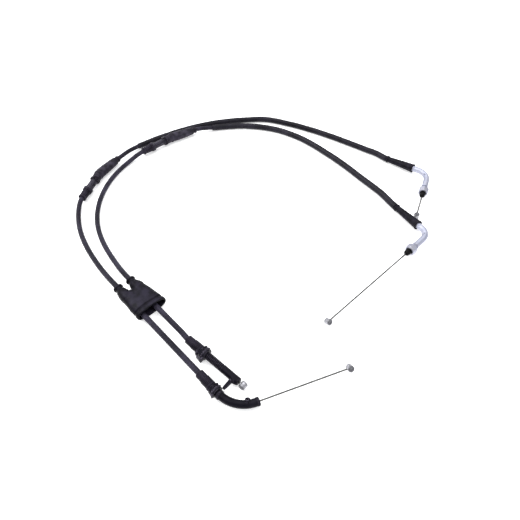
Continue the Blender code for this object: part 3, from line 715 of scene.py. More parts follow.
def camera():
    data = bpy.data.cameras.new("view")
    data.lens = LENS
    data.sensor_width = SENSOR_WIDTH
    data.clip_start = 0.01
    obj = linked("view", data)
    obj.location = to_row(CAMERA_AT)
    obj.rotation_euler = (math.radians(CAMERA_TILT), 0.0, 0.0)
    bpy.context.scene.camera = obj


def adjuster_track(prefix):
    """Centre line of an adjuster and its rubber cover, from the cap to the cover's far end."""
    facts = ADJUSTERS[prefix]
    place, direction = facts["at"], facts["direction"]
    leaving = Matrix.Rotation(math.radians(-facts["turn"]), 3, "Z") @ direction
    radius = (COVER_BEND_END - COVER_BEND_START) / math.radians(facts["turn"])
    arc = bend(place + direction * COVER_BEND_START, direction, leaving, radius, 10)
    return [place, *arc, arc[-1] + leaving * (ADJUSTER_LENGTH - COVER_BEND_END)], leaving


def cover_track(prefix):
    """Centre line of the rubber cover, which cuts the corner that the conduit takes inside it."""
    points, leaving = adjuster_track(prefix)
    centre = Track(points)
    facts = ADJUSTERS[prefix]
    inward = (leaving - facts["direction"]).normalized()
    start = Vector(centre.place(COVER_START + 4.0))
    middle = Vector(centre.place((COVER_BEND_START + COVER_BEND_END) / 2)) + inward * COVER_CUT_IN
    end = Vector(centre.place(ADJUSTER_LENGTH))
    curve = smooth_stretch([start, middle, end], (middle - start).normalized(), (end - middle).normalized())
    return Track([facts["at"], *curve])


def engine_mouth(prefix):
    """Where the plated elbow leaves its rubber boot."""
    facts = ENGINES[prefix]
    tangent = ELBOW_BEND_R * math.tan(facts["into"].angle(facts["out"]) / 2)
    corner = facts["nut_at"] - facts["out"] * CORNER_TO_NUT
    return corner - facts["into"] * (tangent + facts["leg"])


def conduit_piece(prefix, side, path, exit_at):
    node = f"{prefix}_{side}_conduit"
    track = Track(path)
    count = math.ceil(track.length / POINT_STEP)
    mesh = lathed(track, [(CONDUIT_R, s) for s in np.linspace(0.0, track.length, count + 1)], 32, closed=False)
    obj = finished(f"{prefix}_{side}_line", [mesh], Matrix.Translation(path[0]), JACKET, node, sharp=60.0)


def grip_conduit(prefix, loop, run_start, straight, grip_at, grip_direction):
    """From the adjuster's cap round the loop, through the boot and into the grip ferrule."""
    facts = ADJUSTERS[prefix]
    run_from = run_start - RUN * RUN_LEAD
    run_to = run_start + RUN * straight
    stretches = [
        straight_stretch(facts["at"] + facts["direction"] * (CAP_SOCKET - GAP), facts["at"]),
        smooth_stretch([facts["at"], *map(Vector, loop), run_from], -facts["direction"], RUN),
        straight_stretch(run_from, run_to),
    ]
    if (grip_at - run_to).length > GAP:
        stretches.append(smooth_stretch([run_to, grip_at], RUN, grip_direction))
    stretches.append(straight_stretch(stretches[-1][-1], grip_at + grip_direction * (SPIGOT_START - GAP)))
    conduit_piece(prefix, "grip", joined(*stretches), facts["at"])


def engine_conduit(prefix, sweep, sleeve_start, sleeve_radii):
    """From the adjuster's body to the elbow inside the engine boot, with its loose wear sleeve."""
    points, leaving = adjuster_track(prefix)
    facts = ENGINES[prefix]
    track = Track(points)
    mouth = engine_mouth(prefix)
    boot_start = mouth - facts["into"] * ENGINE_BOOT_LENGTH
    elbow_start = mouth + facts["into"] * (facts["leg"] - ELBOW_LEG - GAP)
    free = smooth_stretch([points[-1], *map(Vector, sweep), boot_start], leaving, facts["into"])
    start = [Vector(track.place(BODY_SOCKET + GAP)), *points[1:]]
    path = joined(start, free, straight_stretch(boot_start, elbow_start))
    sleeve = wear_sleeve(prefix, free, sleeve_start, sleeve_radii)
    conduit_piece(prefix, "engine", path, Vector(track.place(BODY_END)))


def wear_sleeve(prefix, free, start, radii):
    """Loose vinyl tube over the conduit, with cut ends, slow waviness and a soft crease near its start."""
    track = Track(free)
    end = track.length - 0.9
    stations = [start, *np.arange(start + 1.2, end - 1.0, 1.5), end]
    skin = [radii[0] + (radii[1] - radii[0]) * min(1.0, 2.0 * (s - start) / (end - start)) for s in stations]
    outline = [
        (skin[0] - 0.25, start), (skin[0], start + 0.25), *list(zip(skin, stations))[1:-1],
        (skin[-1], end - 0.25), (skin[-1] - 0.25, end),
        *((SLIP_R, s) for s in np.linspace(end, start, len(stations) // 3)),
    ]
    crease_at = start + 46.0

    def slack(station, angle):
        wave = 0.05 * np.sin(station * 0.21 + angle) + 0.035 * np.sin(station * 0.53 - 2.0 * angle)
        return wave - 0.28 * hump(station - crease_at, 1.4 * np.cos(angle), 1.3)
    tube = lathed(track, outline, 32, grown(SLIP_R + 0.1, slack))
    return finished(f"{prefix}_wear_tube", [tube], Matrix.Translation(Vector(track.place(start))), SLEEVE,
                    f"{prefix}_wear_sleeve", sharp=50.0)


camera()
grip_conduit("pull", PULL_LOOP, PULL_RUN, PULL_STRAIGHT, PULL_GRIP_AT, PULL_GRIP_DIRECTION)
grip_conduit("return", RETURN_LOOP, RETURN_RUN, RETURN_STRAIGHT, RETURN_GRIP_AT, RUN)
engine_conduit("pull", PULL_SWEEP, 24.0, (3.9, 3.9))
engine_conduit("return", RETURN_SWEEP, 37.0, (3.6, 3.8))


# ---- grip ends

FLARE_START = 14.4
SHOULDER = NUT_START + GAP
GUIDE_ROOT = [
    (GUIDE_BORE_R, SPIGOT_START), (GUIDE_SPIGOT_R, SPIGOT_START), (GUIDE_SPIGOT_R, SHOULDER), (GUIDE_R, SHOULDER),
]


def grip_ferrule(prefix, place, direction, flare):
    """Moulded ferrule with ribs, a waist step, a split line and a flare on the level -X side."""
    end = NUT_START - GAP
    outline = [
        (SLIP_R, 0.0), (3.9, 0.0), (4.2, 0.4), *ribs(0.9, 7.2, 5, 4.3, 4.35, 0.42), (4.7, 7.7),
        *ribs(8.2, 15.0, 5, 4.75, 4.75, 0.48), (4.75, 15.4), (4.75, 16.4), (4.3, end - 0.3), (4.0, end),
        (SLIP_R, end),
    ]

    def flared(station, angle):
        step = ramp(station, FLARE_START, 0.8) * (0.6 + 0.4 * (station - FLARE_START) / (end - FLARE_START))
        return flare * (np.clip(step, 0, 1) * np.clip(-np.cos(angle) * 1.25, 0, 1) ** 4)
    shape = both(flutes(0.5, end - 0.5, 2, 0.12, 3.9), grown(3.8, flared))
    mesh = lathed(straight_track(place, direction), rounded(outline, 0.12), 64, shape)
    finished(f"{prefix}_grip_ferrule_body", [mesh], axis_frame(place, direction), MOULDING,
             f"{prefix}_grip_ferrule")


def grip_nut(prefix, place, direction, half_flats, flange_r):
    """Chamfered hexagon nut, a groove, and a notched round flange."""
    corner = half_flats / math.cos(math.pi / 6)
    bore = GUIDE_R + 0.4
    start, last = NUT_START, NUT_END - 1.5
    flange = last - 1.9
    outline = [
        (bore, start + 0.3), (bore + 0.3, start), (half_flats - 0.35, start), (corner, start + 0.75),
        (corner, flange - 1.0), (half_flats - 0.2, flange - 0.3), (half_flats - 0.9, flange),
        (half_flats - 0.9, flange + 0.35), (flange_r - 0.4, flange + 0.45), (flange_r, flange + 0.8),
        (flange_r, last - 0.5), (flange_r - 0.5, last), (bore + 0.3, last), (bore, last - 0.3),
    ]
    notches = flutes(flange + 0.6, last - 0.1, 6, 0.35, flange_r)
    mesh = lathed(straight_track(place, direction), dense(outline, start, flange, 0.2), 72,
                  both(hexagon(half_flats, start, flange - 0.2), notches))
    node = f"{prefix}_grip_nut"
    finished(f"{node}_body", [mesh], axis_frame(place, direction), BLACK, node, node)


def keeper_plate(place, direction, radius, tongue):
    """Disc pressed round the guide behind the nut; a long tongue is folded to lie beside the nut."""
    start, end = NUT_END - 1.2, NUT_END + 0.3
    inner = GUIDE_R - 0.4
    outline = dense([(inner, start), (radius, start), (radius, end), (inner, end)], start, end, 0.5)
    disc = lathed(straight_track(place, direction), rounded(outline, 0.3), 72)
    side = UP.cross(direction).normalized()
    from_reach, to_reach = radius - 1.0, radius + tongue
    height = to_reach - from_reach
    web = rod(straight_track(place + direction * (start + end) / 2 - side * from_reach, -side),
              [(AXIS_R, 0.0), (1.0, 0.0), (1.0, height - 0.5), (0.8, height), (AXIS_R, height)],
              40, 0.2, squared((end - start) / 2, 3.0))
    if tongue < 2.0:
        return [disc, web]
    length = end - NUT_START
    line = Track([place + direction * NUT_START - side * 7.15, place + direction * end - side * (to_reach - 1.1)])
    fold = rod(line, [(AXIS_R, 0.0), (0.9, 0.0), (1.0, 0.3), (1.0, 2.0), (1.0, 4.0), (1.0, length - 0.4), (0.8, length),
                      (AXIS_R, length)], 40, 0.2, squared(lambda station: 0.5 + 0.55 * ramp(station, 0.0, length), 3.2))
    return [disc, web, fold]


def nipple(name, place, direction, station, body, node, tilt):
    """Cast barrel nipple across its wire, rolled on the wire by a tilt, with a parting line and a solder cup."""
    roll = math.radians(tilt)
    axis = (UP.cross(direction).normalized() * math.cos(roll) + UP * math.sin(roll)).normalized()
    centre = place + direction * station
    length = NIPPLE_LENGTH - 0.9
    half = length / 2
    outer = NIPPLE_R - 0.05
    outline = [
        (AXIS_R, 0.75), (0.9, 0.7), (1.35, 0.3), (outer - 0.45, 0.25), (outer, 0.7), (outer, 2.6),
        (outer - 0.15, 2.8), (outer - 0.15, length - 2.8), (outer, length - 2.6), (outer, length - 0.7),
        (outer - 0.45, length - 0.25), (1.35, length - 0.3), (0.9, length - 0.7), (AXIS_R, length - 0.75),
    ]

    parting = grown(NIPPLE_R - 0.7, lambda station, angle: 0.07 * hump(np.sin(angle), 0.0, 0.07))
    barrel = rod(Track([centre - axis * half, centre + axis * half]), outline, 64, 0.2, parting)
    wire_line = straight_track(centre - direction * 3.25, direction)
    collar = rod(wire_line, [(AXIS_R, 0.0), (1.05, 0.0), (1.2, 0.35), (1.35, 1.2), (AXIS_R, 1.2)], 32)
    solder = rod(wire_line, [(AXIS_R, 5.4), (1.25, 5.4), (1.2, 6.1), (0.8, 6.35), (AXIS_R, 6.42)], 32)
    return finished(name, [barrel, collar, solder], axis_frame(centre, axis), ZINC, node, body)


def straight_wire(name, place, direction, start, end, body, node):
    mesh = stranded(straight_track(place, direction, 200.0), start, end)
    return finished(name, [mesh], axis_frame(place, direction), STEEL, node, body, sharp=80.0)


def pull_grip_end():
    """Straight threaded guide with a locating arm, and a short wire with its nipple."""
    place, direction = PULL_GRIP_AT, PULL_GRIP_DIRECTION
    grip_ferrule("pull", place, direction, 2.4)
    grip_nut("pull", place, direction, 5.5, 6.6)
    end = PULL_GUIDE_LENGTH
    thread_from, thread_to = NUT_END - 6.0, 45.0
    plain_r = GUIDE_R - 0.12
    outline = rounded([
        *GUIDE_ROOT, (GUIDE_R, thread_to), (plain_r, thread_to + 0.5),
        *((plain_r, s) for s in np.arange(thread_to + 2.0, end - 1.0, 1.0)), (plain_r, end - 0.7),
        (GUIDE_R - 0.7, end), (GUIDE_BORE_R + 0.5, end), (GUIDE_BORE_R, end - 0.5),
    ], 0.15)

    def bulge(station, angle):
        return 1.15 * hump(station, end - 4.2, 2.6) * np.clip(-np.cos(angle), 0, 1) ** 2 * (station > end - 14.0)
    shape = both(thread(SHOULDER + 0.4, thread_to - 0.4, 1.6, 0.42, GUIDE_R), grown(3.0, bulge))
    tube = lathed(straight_track(place, direction), dense(outline, thread_from - 6.0, thread_to + 0.1, 0.16), 64, shape)
    finished("pull_guide", [tube, *keeper_plate(place, direction, 5.7, 3.1)], axis_frame(place, direction), BLACK,
             "pull_guide_tube")

    side = UP.cross(direction).normalized()
    root = place + direction * ARM_STATION - side * (GUIDE_R - 0.6)
    length = ARM_REACH - GUIDE_R + 1.2
    arm = rod(straight_track(root, -side, length),
              [(AXIS_R, 0.0), (1.0, 0.0), (1.0, 1.2), (0.9, 2.2), (0.82, length - 2.4), (0.62, length - 0.4),
               (0.4, length), (AXIS_R, length)],
              48, 0.3, squared(ARM_WIDTH / 2, ARM_THICKNESS / 2))
    weld = rod(straight_track(root + side * 0.2, -side),
               [(AXIS_R, 0.0), (2.2, 0.0), (2.1, 0.9), (1.6, 1.5), (AXIS_R, 1.7)], 32)
    finished("pull_arm", [arm, weld], axis_frame(root, -side), BLACK, "pull_locating_arm")

    nipple_at = end + PULL_WIRE_LENGTH
    straight_wire("pull_grip_strand", place, direction, end - TAIL_MARGIN - PULL_STROKE, nipple_at - NIPPLE_R + 0.2,
                  "pull_grip_end", "pull_grip_wire")
    nipple("pull_grip_barrel", place, direction, nipple_at, "pull_grip_end", "pull_grip_nipple", 0.0)


def return_grip_end():
    """Bent guide with a stop ring, an end collar and a locating pin, and a long wire with its nipple."""
    place = RETURN_GRIP_AT
    grip_ferrule("return", place, RUN, 0.6)
    grip_nut("return", place, RUN, 5.2, 6.1)
    arc = bend(place + RUN * RETURN_BEND_START, RUN, RETURN_MOUTH_DIRECTION, RETURN_BEND_R)
    mouth = arc[-1] + RETURN_MOUTH_DIRECTION * RETURN_MOUTH_STRAIGHT
    track = Track([place, *arc, mouth])
    end = track.length
    outline = [
        *GUIDE_ROOT,
        *past(NUT_END, (GUIDE_R, 1.6), (GUIDE_R + 0.55, 1.9), (GUIDE_R + 0.55, 4.2), (GUIDE_R, 4.9)),
        *((GUIDE_R, s) for s in np.arange(NUT_END + 6.0, end - 4.0, 1.0)),
        *past(end, (GUIDE_R, -2.8), (3.95, -2.4), (4.05, -1.9), (4.05, -0.6), (3.7, 0.0), (GUIDE_BORE_R + 0.6, 0.0),
              (GUIDE_BORE_R, -0.6)),
        *((GUIDE_BORE_R, s) for s in np.arange(end - 3.0, SPIGOT_START + 3.0, -3.0)),
    ]

    def pressed(station, angle):
        """The bend flattens the tube a little and wrinkles its inner side."""
        share = ramp(station, RETURN_BEND_START, 6) * ramp(end - 6 - station, 0.0, 6)
        wrinkle = 0.07 * np.sin(station * 1.9) * np.clip(np.cos(angle), 0, 1) ** 3
        return share * (wrinkle - 0.08 * np.abs(np.cos(angle)))
    elbow = lathed(track, rounded(outline, 0.18), 56, grown(3.0, pressed))
    finished("return_guide", [elbow, *keeper_plate(place, RUN, 5.5, 1.0)], axis_frame(place, RUN), BLACK,
             "return_guide_elbow")

    pin_at = RETURN_BEND_START + PIN_BEND_SHARE * (end - RETURN_MOUTH_STRAIGHT - RETURN_BEND_START)
    base = Vector(track.place(pin_at))
    out = (Vector(track.axes(pin_at)[1]) + UP * PIN_LEAN).normalized()
    pin = rod(straight_track(base, out),
              [(AXIS_R, 3.0), (2.7, 3.2), (2.4, 3.9), (2.3, 4.2), (2.3, 5.1), (2.0, 5.5), (1.45, 5.5), (1.2, 5.1),
               (1.2, 4.1), (AXIS_R, 4.0)], 36, 0.12)
    finished("return_pin", [pin], axis_frame(base, out), BLACK, "return_locating_pin")

    direction = RETURN_MOUTH_DIRECTION
    wire_end = RETURN_WIRE_LENGTH - NIPPLE_R + 0.2
    wire = straight_wire("return_grip_strand", mouth, direction, -TAIL_MARGIN, wire_end, None, "return_grip_wire")
    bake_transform(wire)
    barrel = nipple("return_grip_barrel", mouth, direction, RETURN_WIRE_LENGTH, "return_grip_end",
                    "return_grip_nipple", -34.0)


pull_grip_end()
return_grip_end()


# ---- adjusters

SCREW_THREAD_R = 4.0
SCREW_BARREL_R = 4.3
LOCK_NUT_BORE_R = SCREW_THREAD_R + 0.4
LOCK_NUT_HALF = 5.7
LOCK_NUT_CORNER = 6.15


def adjuster(prefix):
    """Cap, screw with its collar, lock nut, body, and the rubber cover over the body."""
    place, direction = ADJUSTERS[prefix]["at"], ADJUSTERS[prefix]["direction"]
    home = axis_frame(place, direction)
    line = straight_track(place, direction)
    cap = [
        (SLIP_R, 0.3), (SLIP_R + 0.4, 0.0), (4.3, 0.0), (4.75, 0.5), (4.75, 2.2), (4.15, 2.8),
        *ribs(3.4, 11.4, 4, 4.5, 4.75, 0.4), (4.75, 11.8), (5.5, 12.5), (5.5, CAP_END), (THROUGH_R, CAP_END),
        (THROUGH_R, CAP_SOCKET), (SLIP_R, CAP_SOCKET),
    ]
    grips = flutes(3.2, CAP_END - 0.1, 12, 0.26, 4.6)
    finished(f"{prefix}_cap", [lathed(line, rounded(cap, 0.16), 72, grips)], home, MOULDING,
             f"{prefix}_adjuster_cap")

    screw = [
        (THROUGH_R, CAP_END + GAP), (5.4, CAP_END + GAP), (5.8, CAP_END + 0.8), (5.8, COLLAR_END - 0.5),
        (5.4, COLLAR_END), (4.7, COLLAR_END), (SCREW_BARREL_R, COLLAR_END + 0.4), (SCREW_BARREL_R, BARREL_END - 0.3),
        (SCREW_THREAD_R, BARREL_END + 0.1), (SCREW_THREAD_R, SCREW_END - 0.6), (SCREW_THREAD_R - 0.6, SCREW_END),
        (THROUGH_R, SCREW_END),
    ]
    screw = dense(rounded(screw, 0.12), COLLAR_END + 0.2, SCREW_END - 0.5, 0.17)
    knurl = flutes(CAP_END + 0.7, COLLAR_END - 0.4, 24, 0.22, 5.8)
    fine = thread(BARREL_END, SCREW_END - 0.3, 1.0, 0.35, SCREW_THREAD_R)
    coarse = thread(COLLAR_END + 1.0, BARREL_END - 0.8, 1.7, 0.42, SCREW_BARREL_R)

    def machined(reach, station, angle):
        grooved = np.where(station > BARREL_END, fine(reach, station, angle), coarse(reach, station, angle))
        return np.where(station > COLLAR_END, grooved, knurl(reach, station, angle))
    node = f"{prefix}_adjuster_screw"
    finished(f"{prefix}_screw", [lathed(line, screw, 96, machined)], home, BARREL, node, node)

    bore, half, corner = LOCK_NUT_BORE_R, LOCK_NUT_HALF, LOCK_NUT_CORNER
    start, end = BARREL_END + GAP, LOCK_NUT_END
    nut = dense([
        (bore, start + 0.3), (bore + 0.4, start), (half - 0.3, start), (corner, start + 0.5), (corner, end - 0.5),
        (half - 0.3, end), (bore + 0.4, end), (bore, end - 0.3),
    ], start, end, 0.18)
    node = f"{prefix}_lock_nut"
    finished(f"{prefix}_nut", [lathed(line, nut, 72, hexagon(half - 0.15, start, end))], home, BLACK,
             node, node)

    body = [
        *past(end, (bore, GAP), (5.1, GAP), (5.4, 0.6), (5.4, 1.6), (5.15, 1.9), (5.15, 2.6), (5.4, 2.9)),
        (5.4, COVER_START - 0.4), (5.1, COVER_START), (5.1, BODY_END - 1.5), (4.3, BODY_END),
        (SLIP_R, BODY_END), (SLIP_R, BODY_SOCKET), (THROUGH_R, BODY_SOCKET), (THROUGH_R, SCREW_END + 0.6),
        (bore, SCREW_END + 0.6),
    ]
    finished(f"{prefix}_body", [lathed(line, rounded(body, 0.15), 64)], home, COVER,
             f"{prefix}_adjuster_body")

    cover = [
        *past(COVER_START, (5.42, GAP), (5.75, GAP), (6.05, 0.7), (6.15, 1.5), (6.1, 3.1), (5.45, 3.7), (5.45, 4.3),
              (5.95, 4.9)),
        *((5.95 - 0.0014 * (s - 49.0) ** 2, s) for s in np.arange(49.0, 73.0, 1.2)), (5.05, 74.0),
        (4.85, 76.0), (4.5, 77.2), (3.75, 77.9), (3.6, 79.4), (4.05, 79.9), (4.2, 80.8), (4.0, 81.8),
        (3.6, ADJUSTER_LENGTH), (3.1, ADJUSTER_LENGTH), (3.2, 75.0), (4.1, 69.0), (4.4, 63.0), (4.5, 59.5),
        (4.5, 56.0), (4.7, 52.5), (5.35, 49.0),
    ]
    soft = both(wavy(COVER_START + 5.5, 74.0, 0.05, 0.55, 4.9), flutes(COVER_START + 5.0, 73.0, 6, 0.10, 5.0))
    finished(f"{prefix}_cover", [lathed(cover_track(prefix), rounded(cover, 0.25), 64, soft)], home, COVER,
             f"{prefix}_adjuster_cover", sharp=45.0)


adjuster("pull")
adjuster("return")


# ---- engine ends

CRIMP_R = 3.02  # bore of the engine boot's mouth and of the crimp sleeve
NUT_TRACK_LEAD = 10.0
ENGINE_NUT_HALF_FLATS = 5.2


def engine_boot(prefix, mouth, into, leg):
    """Flaring rubber boot, and the crimp sleeve inside it."""
    length = ENGINE_BOOT_LENGTH
    boot_at = mouth - into * length
    home = axis_frame(boot_at, into)
    line = straight_track(boot_at, into)
    boot = [
        (CRIMP_R, 0.2), (3.3, 0.0), (4.0, 0.1), (4.4, 0.6), (4.45, 1.5), (4.1, 2.2), (3.68, 2.7), (3.62, 3.3),
        *((3.66 + 1.48 * ((s - 4.0) / 31.0) ** 1.15, s) for s in np.arange(4.2, length - 2.2, 1.4)),
        *past(length, (5.15, -1.9), (5.45, -1.5), (5.55, -0.8), (5.4, -0.15), (5.1, 0.0), (4.7, -0.1), (4.5, -0.6),
              (4.4, -4.0)),
        (4.3, 26.0), (3.95, 8.6), (CRIMP_R, 7.4),
    ]

    def creased(reach, station, angle):
        """Shallow rings where the boot was squeezed on, and a slight sag."""
        ring = 0.07 * np.sin(station * 1.25) * ramp(station, 4, 6) * (station < length - 3)
        sag = 0.06 * np.sin(angle * 3 + station * 0.2)
        return np.where(reach > 3.6 + station * 0.035, reach + ring + sag * (station > 3), reach)
    finished(f"{prefix}_engine_rubber", [lathed(line, rounded(boot, 0.2), 56, creased)], home, RUBBER,
             f"{prefix}_engine_boot", sharp=50.0)

    leg_start = length + leg - ELBOW_LEG
    start, end = leg_start - 6.0, leg_start + ELBOW_SPIGOT - GAP
    crimp = [
        *past(start, (CRIMP_R, 0.0), (3.6, 0.0), (3.65, 2.0), (3.5, 2.5), (3.5, 3.4), (3.65, 3.9)),
        (3.65, end), (CRIMP_R, end),
    ]
    finished(f"{prefix}_crimp", [lathed(line, rounded(crimp, 0.12), 48, flutes(start, end, 6, 0.12, 3.6))], home,
             PLATED, f"{prefix}_crimp_sleeve")


def engine_elbow(prefix, mouth):
    """Plated tube with a stake mark by its mouth, a worked bend, and a bead and groove before the nut."""
    facts = ENGINES[prefix]
    into, out, leg, radius = facts["into"], facts["out"], facts["leg"], facts["swept"]
    half_turn = into.angle(out) / 2
    eased = (radius - ELBOW_BEND_R) * math.tan(half_turn)
    arc = bend(mouth + into * (leg - eased), into, out, radius, 32)
    track = Track([mouth + into * (leg - ELBOW_LEG), *arc, facts["nut_at"] + out * (NUT_HALF - GAP)])
    end = track.length
    bend_from = ELBOW_LEG - eased
    bend_to = bend_from + radius * 2 * half_turn
    bead = end - 2 * NUT_HALF - 4.2
    outline = [
        (ELBOW_BORE_R, 0.0), (CONDUIT_R, 0.0), (CONDUIT_R, ELBOW_SPIGOT), (ELBOW_R, ELBOW_SPIGOT),
        *((ELBOW_R, s) for s in np.arange(ELBOW_SPIGOT + 1.0, bead - 0.4, 0.45)), (ELBOW_R, bead),
        *past(bead, (ELBOW_R + 0.34, 0.5), (ELBOW_R + 0.34, 1.1), (ELBOW_R - 1.1, 1.5), (ELBOW_R - 1.1, 2.9),
              (ELBOW_R, 3.2)),
        (ELBOW_R, end), (ELBOW_BORE_R, end),
        *((ELBOW_BORE_R, s) for s in np.arange(end - 2.0, 2.0, -2.5)),
    ]
    stake_at = ELBOW_LEG - leg + 1.9
    turn_sign = 1.0 if into.cross(out).z > 0 else -1.0

    def worked(station, angle):
        """The stake mark, and thinning, a dent and small wrinkles on the inside of the bend."""
        stake = np.exp(-((station - stake_at) / 0.9) ** 2 - (np.sin((angle - math.pi / 2 - 0.5) / 2) / 0.16) ** 2)
        share = ramp(station, bend_from, 3) * ramp(bend_to - station, 0.0, 3)
        inner = np.clip(np.cos(angle) * turn_sign, 0, 1)
        mark = np.clip(turn_sign * np.cos(angle - turn_sign * 0.7), 0, 1) ** 5
        dent = 1.45 * mark * hump(station - (bend_from + bend_to) / 2, 1.5, 1.2)
        flat = share * 0.14 * np.abs(np.cos(angle))
        wrinkle = share * 0.05 * np.sin(station * 3.1) * inner ** 2
        return wrinkle - 0.55 * stake - flat - dent
    finished(f"{prefix}_elbow", [lathed(track, rounded(outline, 0.14), 64, grown(2.9, worked))],
             axis_frame(mouth, into), PLATED, f"{prefix}_engine_elbow", sharp=40.0)


def engine_nut(prefix, nut_at, out):
    """Plated hexagon nut, and the black seal in front of it."""
    home = axis_frame(nut_at, out)
    line = straight_track(nut_at - out * NUT_TRACK_LEAD, out)
    bore, half = ELBOW_R + 0.42, ENGINE_NUT_HALF_FLATS
    corner = half / math.cos(math.pi / 6)
    first, last = NUT_TRACK_LEAD - NUT_HALF, NUT_TRACK_LEAD + NUT_HALF
    nut = dense([
        (bore, first + 0.9), (bore + 0.6, first + 0.2), (bore + 0.75, first), (half - 0.15, first),
        (corner, first + 0.85), (corner, last - 0.85), (half - 0.15, last), (bore + 0.5, last), (bore, last - 0.4),
    ], first, last, 0.18)
    node = f"{prefix}_engine_nut"
    finished(f"{prefix}_hex", [lathed(line, nut, 72, hexagon(half, first, last))], home, NUT_PLATE,
             node, node)

    tip = NUT_TRACK_LEAD + SEAL_END
    seal = [
        *past(last, (1.15, 0.02), (3.55, 0.02), (3.6, 0.6), (3.15, 1.0), (3.15, 2.0)),
        *((3.4 * math.cos(a) ** 0.7, last + 3.0 + 3.7 * math.sin(a)) for a in np.linspace(-0.15, 1.12, 10)),
        (1.5, tip - 0.1), (1.15, tip - 0.4),
    ]
    finished(f"{prefix}_seal", [lathed(line, rounded(seal, 0.15), 48)], home, SEAL,
             f"{prefix}_engine_seal")


def engine_end(prefix):
    facts = ENGINES[prefix]
    into, out, nut_at, station = facts["into"], facts["out"], facts["nut_at"], facts["nipple"]
    mouth = engine_mouth(prefix)
    engine_boot(prefix, mouth, into, facts["leg"])
    engine_elbow(prefix, mouth)
    engine_nut(prefix, nut_at, out)
    start, end = SEAL_END - TAIL_MARGIN, station - NIPPLE_R + 0.2
    body = f"{prefix}_engine_end"
    wire = straight_wire(f"{prefix}_engine_strand", nut_at, out, start, end, body, f"{prefix}_engine_wire")
    barrel = nipple(f"{prefix}_engine_barrel", nut_at, out, station, body, f"{prefix}_engine_nipple", facts["tilt"])


engine_end("pull")
engine_end("return")


# ---- two-necked boot

def oval_loft(rows):
    """Loft through rows of (half_width, half_height, station, shift), each a flattened oval square to +Z."""
    facets = 96
    rings = []
    for half_width, half_height, station, shift in rows:
        power = 2.0 + 0.9 * (half_width - half_height) / half_width
        for k in range(facets):
            x, y = math.cos(math.tau * k / facets), math.sin(math.tau * k / facets)
            scale = (abs(x) ** power + abs(y) ** power) ** (-1.0 / power)
            rings.append((shift + x * scale * half_width, y * scale * half_height, station))
    return mesh_from_rings(np.array(rings).reshape(-1, facets, 3), [row[2] * MM for row in rows], closed=False)


def smoothly(rows, step):
    """Rows every step of the station, on a smooth curve through those given."""
    rows = np.array(rows, float)
    stations = rows[:, 2]
    slopes = np.gradient(rows, stations, axis=0)
    result = []
    for s in np.append(np.arange(stations[0], stations[-1], step), stations[-1]):
        i = min(max(int(np.searchsorted(stations, s, side="right")) - 1, 0), len(rows) - 2)
        h = stations[i + 1] - stations[i]
        row = hermite((s - stations[i]) / h, h, rows[i], slopes[i], rows[i + 1], slopes[i + 1])
        row[2] = s
        result.append(row)
    return result


def upright(outline, offset, shoulder=0.0):
    """Mesh turned about the boot's own +Z, moved sideways, with one side swollen into a shoulder."""
    facets = 64
    angles = np.arange(facets) * math.tau / facets
    across, up = np.cos(angles), np.sin(angles)
    rings = []
    for r, s in outline:
        swell = 1.0 + 0.030 * shoulder * math.exp(-((s - 12.0) / 5.0) ** 2) * np.clip(across, 0, 1)
        rings.append(np.stack([offset + r * across * swell, r * up, np.full(facets, s)], axis=-1))
    return mesh_from_rings(np.array(rings), [s * MM for _, s in outline], closed=False)


def scratch(name, mesh):
    """A temporary object for the booleans, in millimetres in the boot's own frame."""
    bm = bmesh.new()
    bm.from_mesh(mesh)
    bmesh.ops.recalc_face_normals(bm, faces=bm.faces)
    bm.to_mesh(mesh)
    bm.free()
    return linked(name, mesh)


def applied(obj, tools, operation):
    """The object's mesh after the booleans and a voxel remesh."""
    for tool in tools:
        modifier = obj.modifiers.new("cut", "BOOLEAN")
        modifier.operation = operation
        modifier.solver = "EXACT"
        modifier.object = tool
    modifier = obj.modifiers.new("voxels", "REMESH")
    modifier.mode = "VOXEL"
    modifier.voxel_size = BOOT_VOXEL
    depsgraph = bpy.context.evaluated_depsgraph_get()
    mesh = bpy.data.meshes.new_from_object(obj.evaluated_get(depsgraph))
    for old in (obj, *tools):
        bpy.data.objects.remove(old, do_unlink=True)
    return mesh


def values(collection, key, width=3, kind=float):
    """One row per element of a mesh's collection."""
    rows = np.empty(len(collection) * width, kind)
    collection.foreach_get(key, rows)
    return rows.reshape(-1, width)


def moved_to(mesh, co):
    mesh.vertices.foreach_set("co", co.ravel())
    mesh.update()


def relaxed(mesh, rounds, weight):
    """Smooth a mesh by moving points towards their neighbours, by a weight per point."""
    co = values(mesh.vertices, "co")
    a, b = values(mesh.edges, "vertices", 2, int).T
    degree = np.bincount(np.concatenate([a, b]), minlength=len(co))[:, None]
    for k in range(rounds):
        total = np.zeros_like(co)
        np.add.at(total, a, co[b])
        np.add.at(total, b, co[a])
        share = weight(co)[:, None] * (0.5 if k % 2 == 0 else -0.35)
        co += share * (total / np.maximum(degree, 1) - co)
    moved_to(mesh, co)


def soft_melt(mesh):
    """Slow dents and swellings, as a soft moulding has, and a shallow groove down the middle by the fork."""
    co = values(mesh.vertices, "co")
    normals = values(mesh.vertex_normals, "vector")
    x, z = co[:, 0], co[:, 2]
    inside = ramp(z, 6.0, 5.0) * ramp(41.0 - z, 0.0, 4.0)
    wave = 0.10 * np.sin(x * 0.42 + z * 0.23) + 0.08 * np.sin(z * 0.47 - x * 0.31 + 1.0)
    groove = -0.45 * hump(x, 0.0, 2.6) * hump(z, 20.0, 6.5)
    co += normals * (inside * (wave + groove))[:, None]
    moved_to(mesh, co)


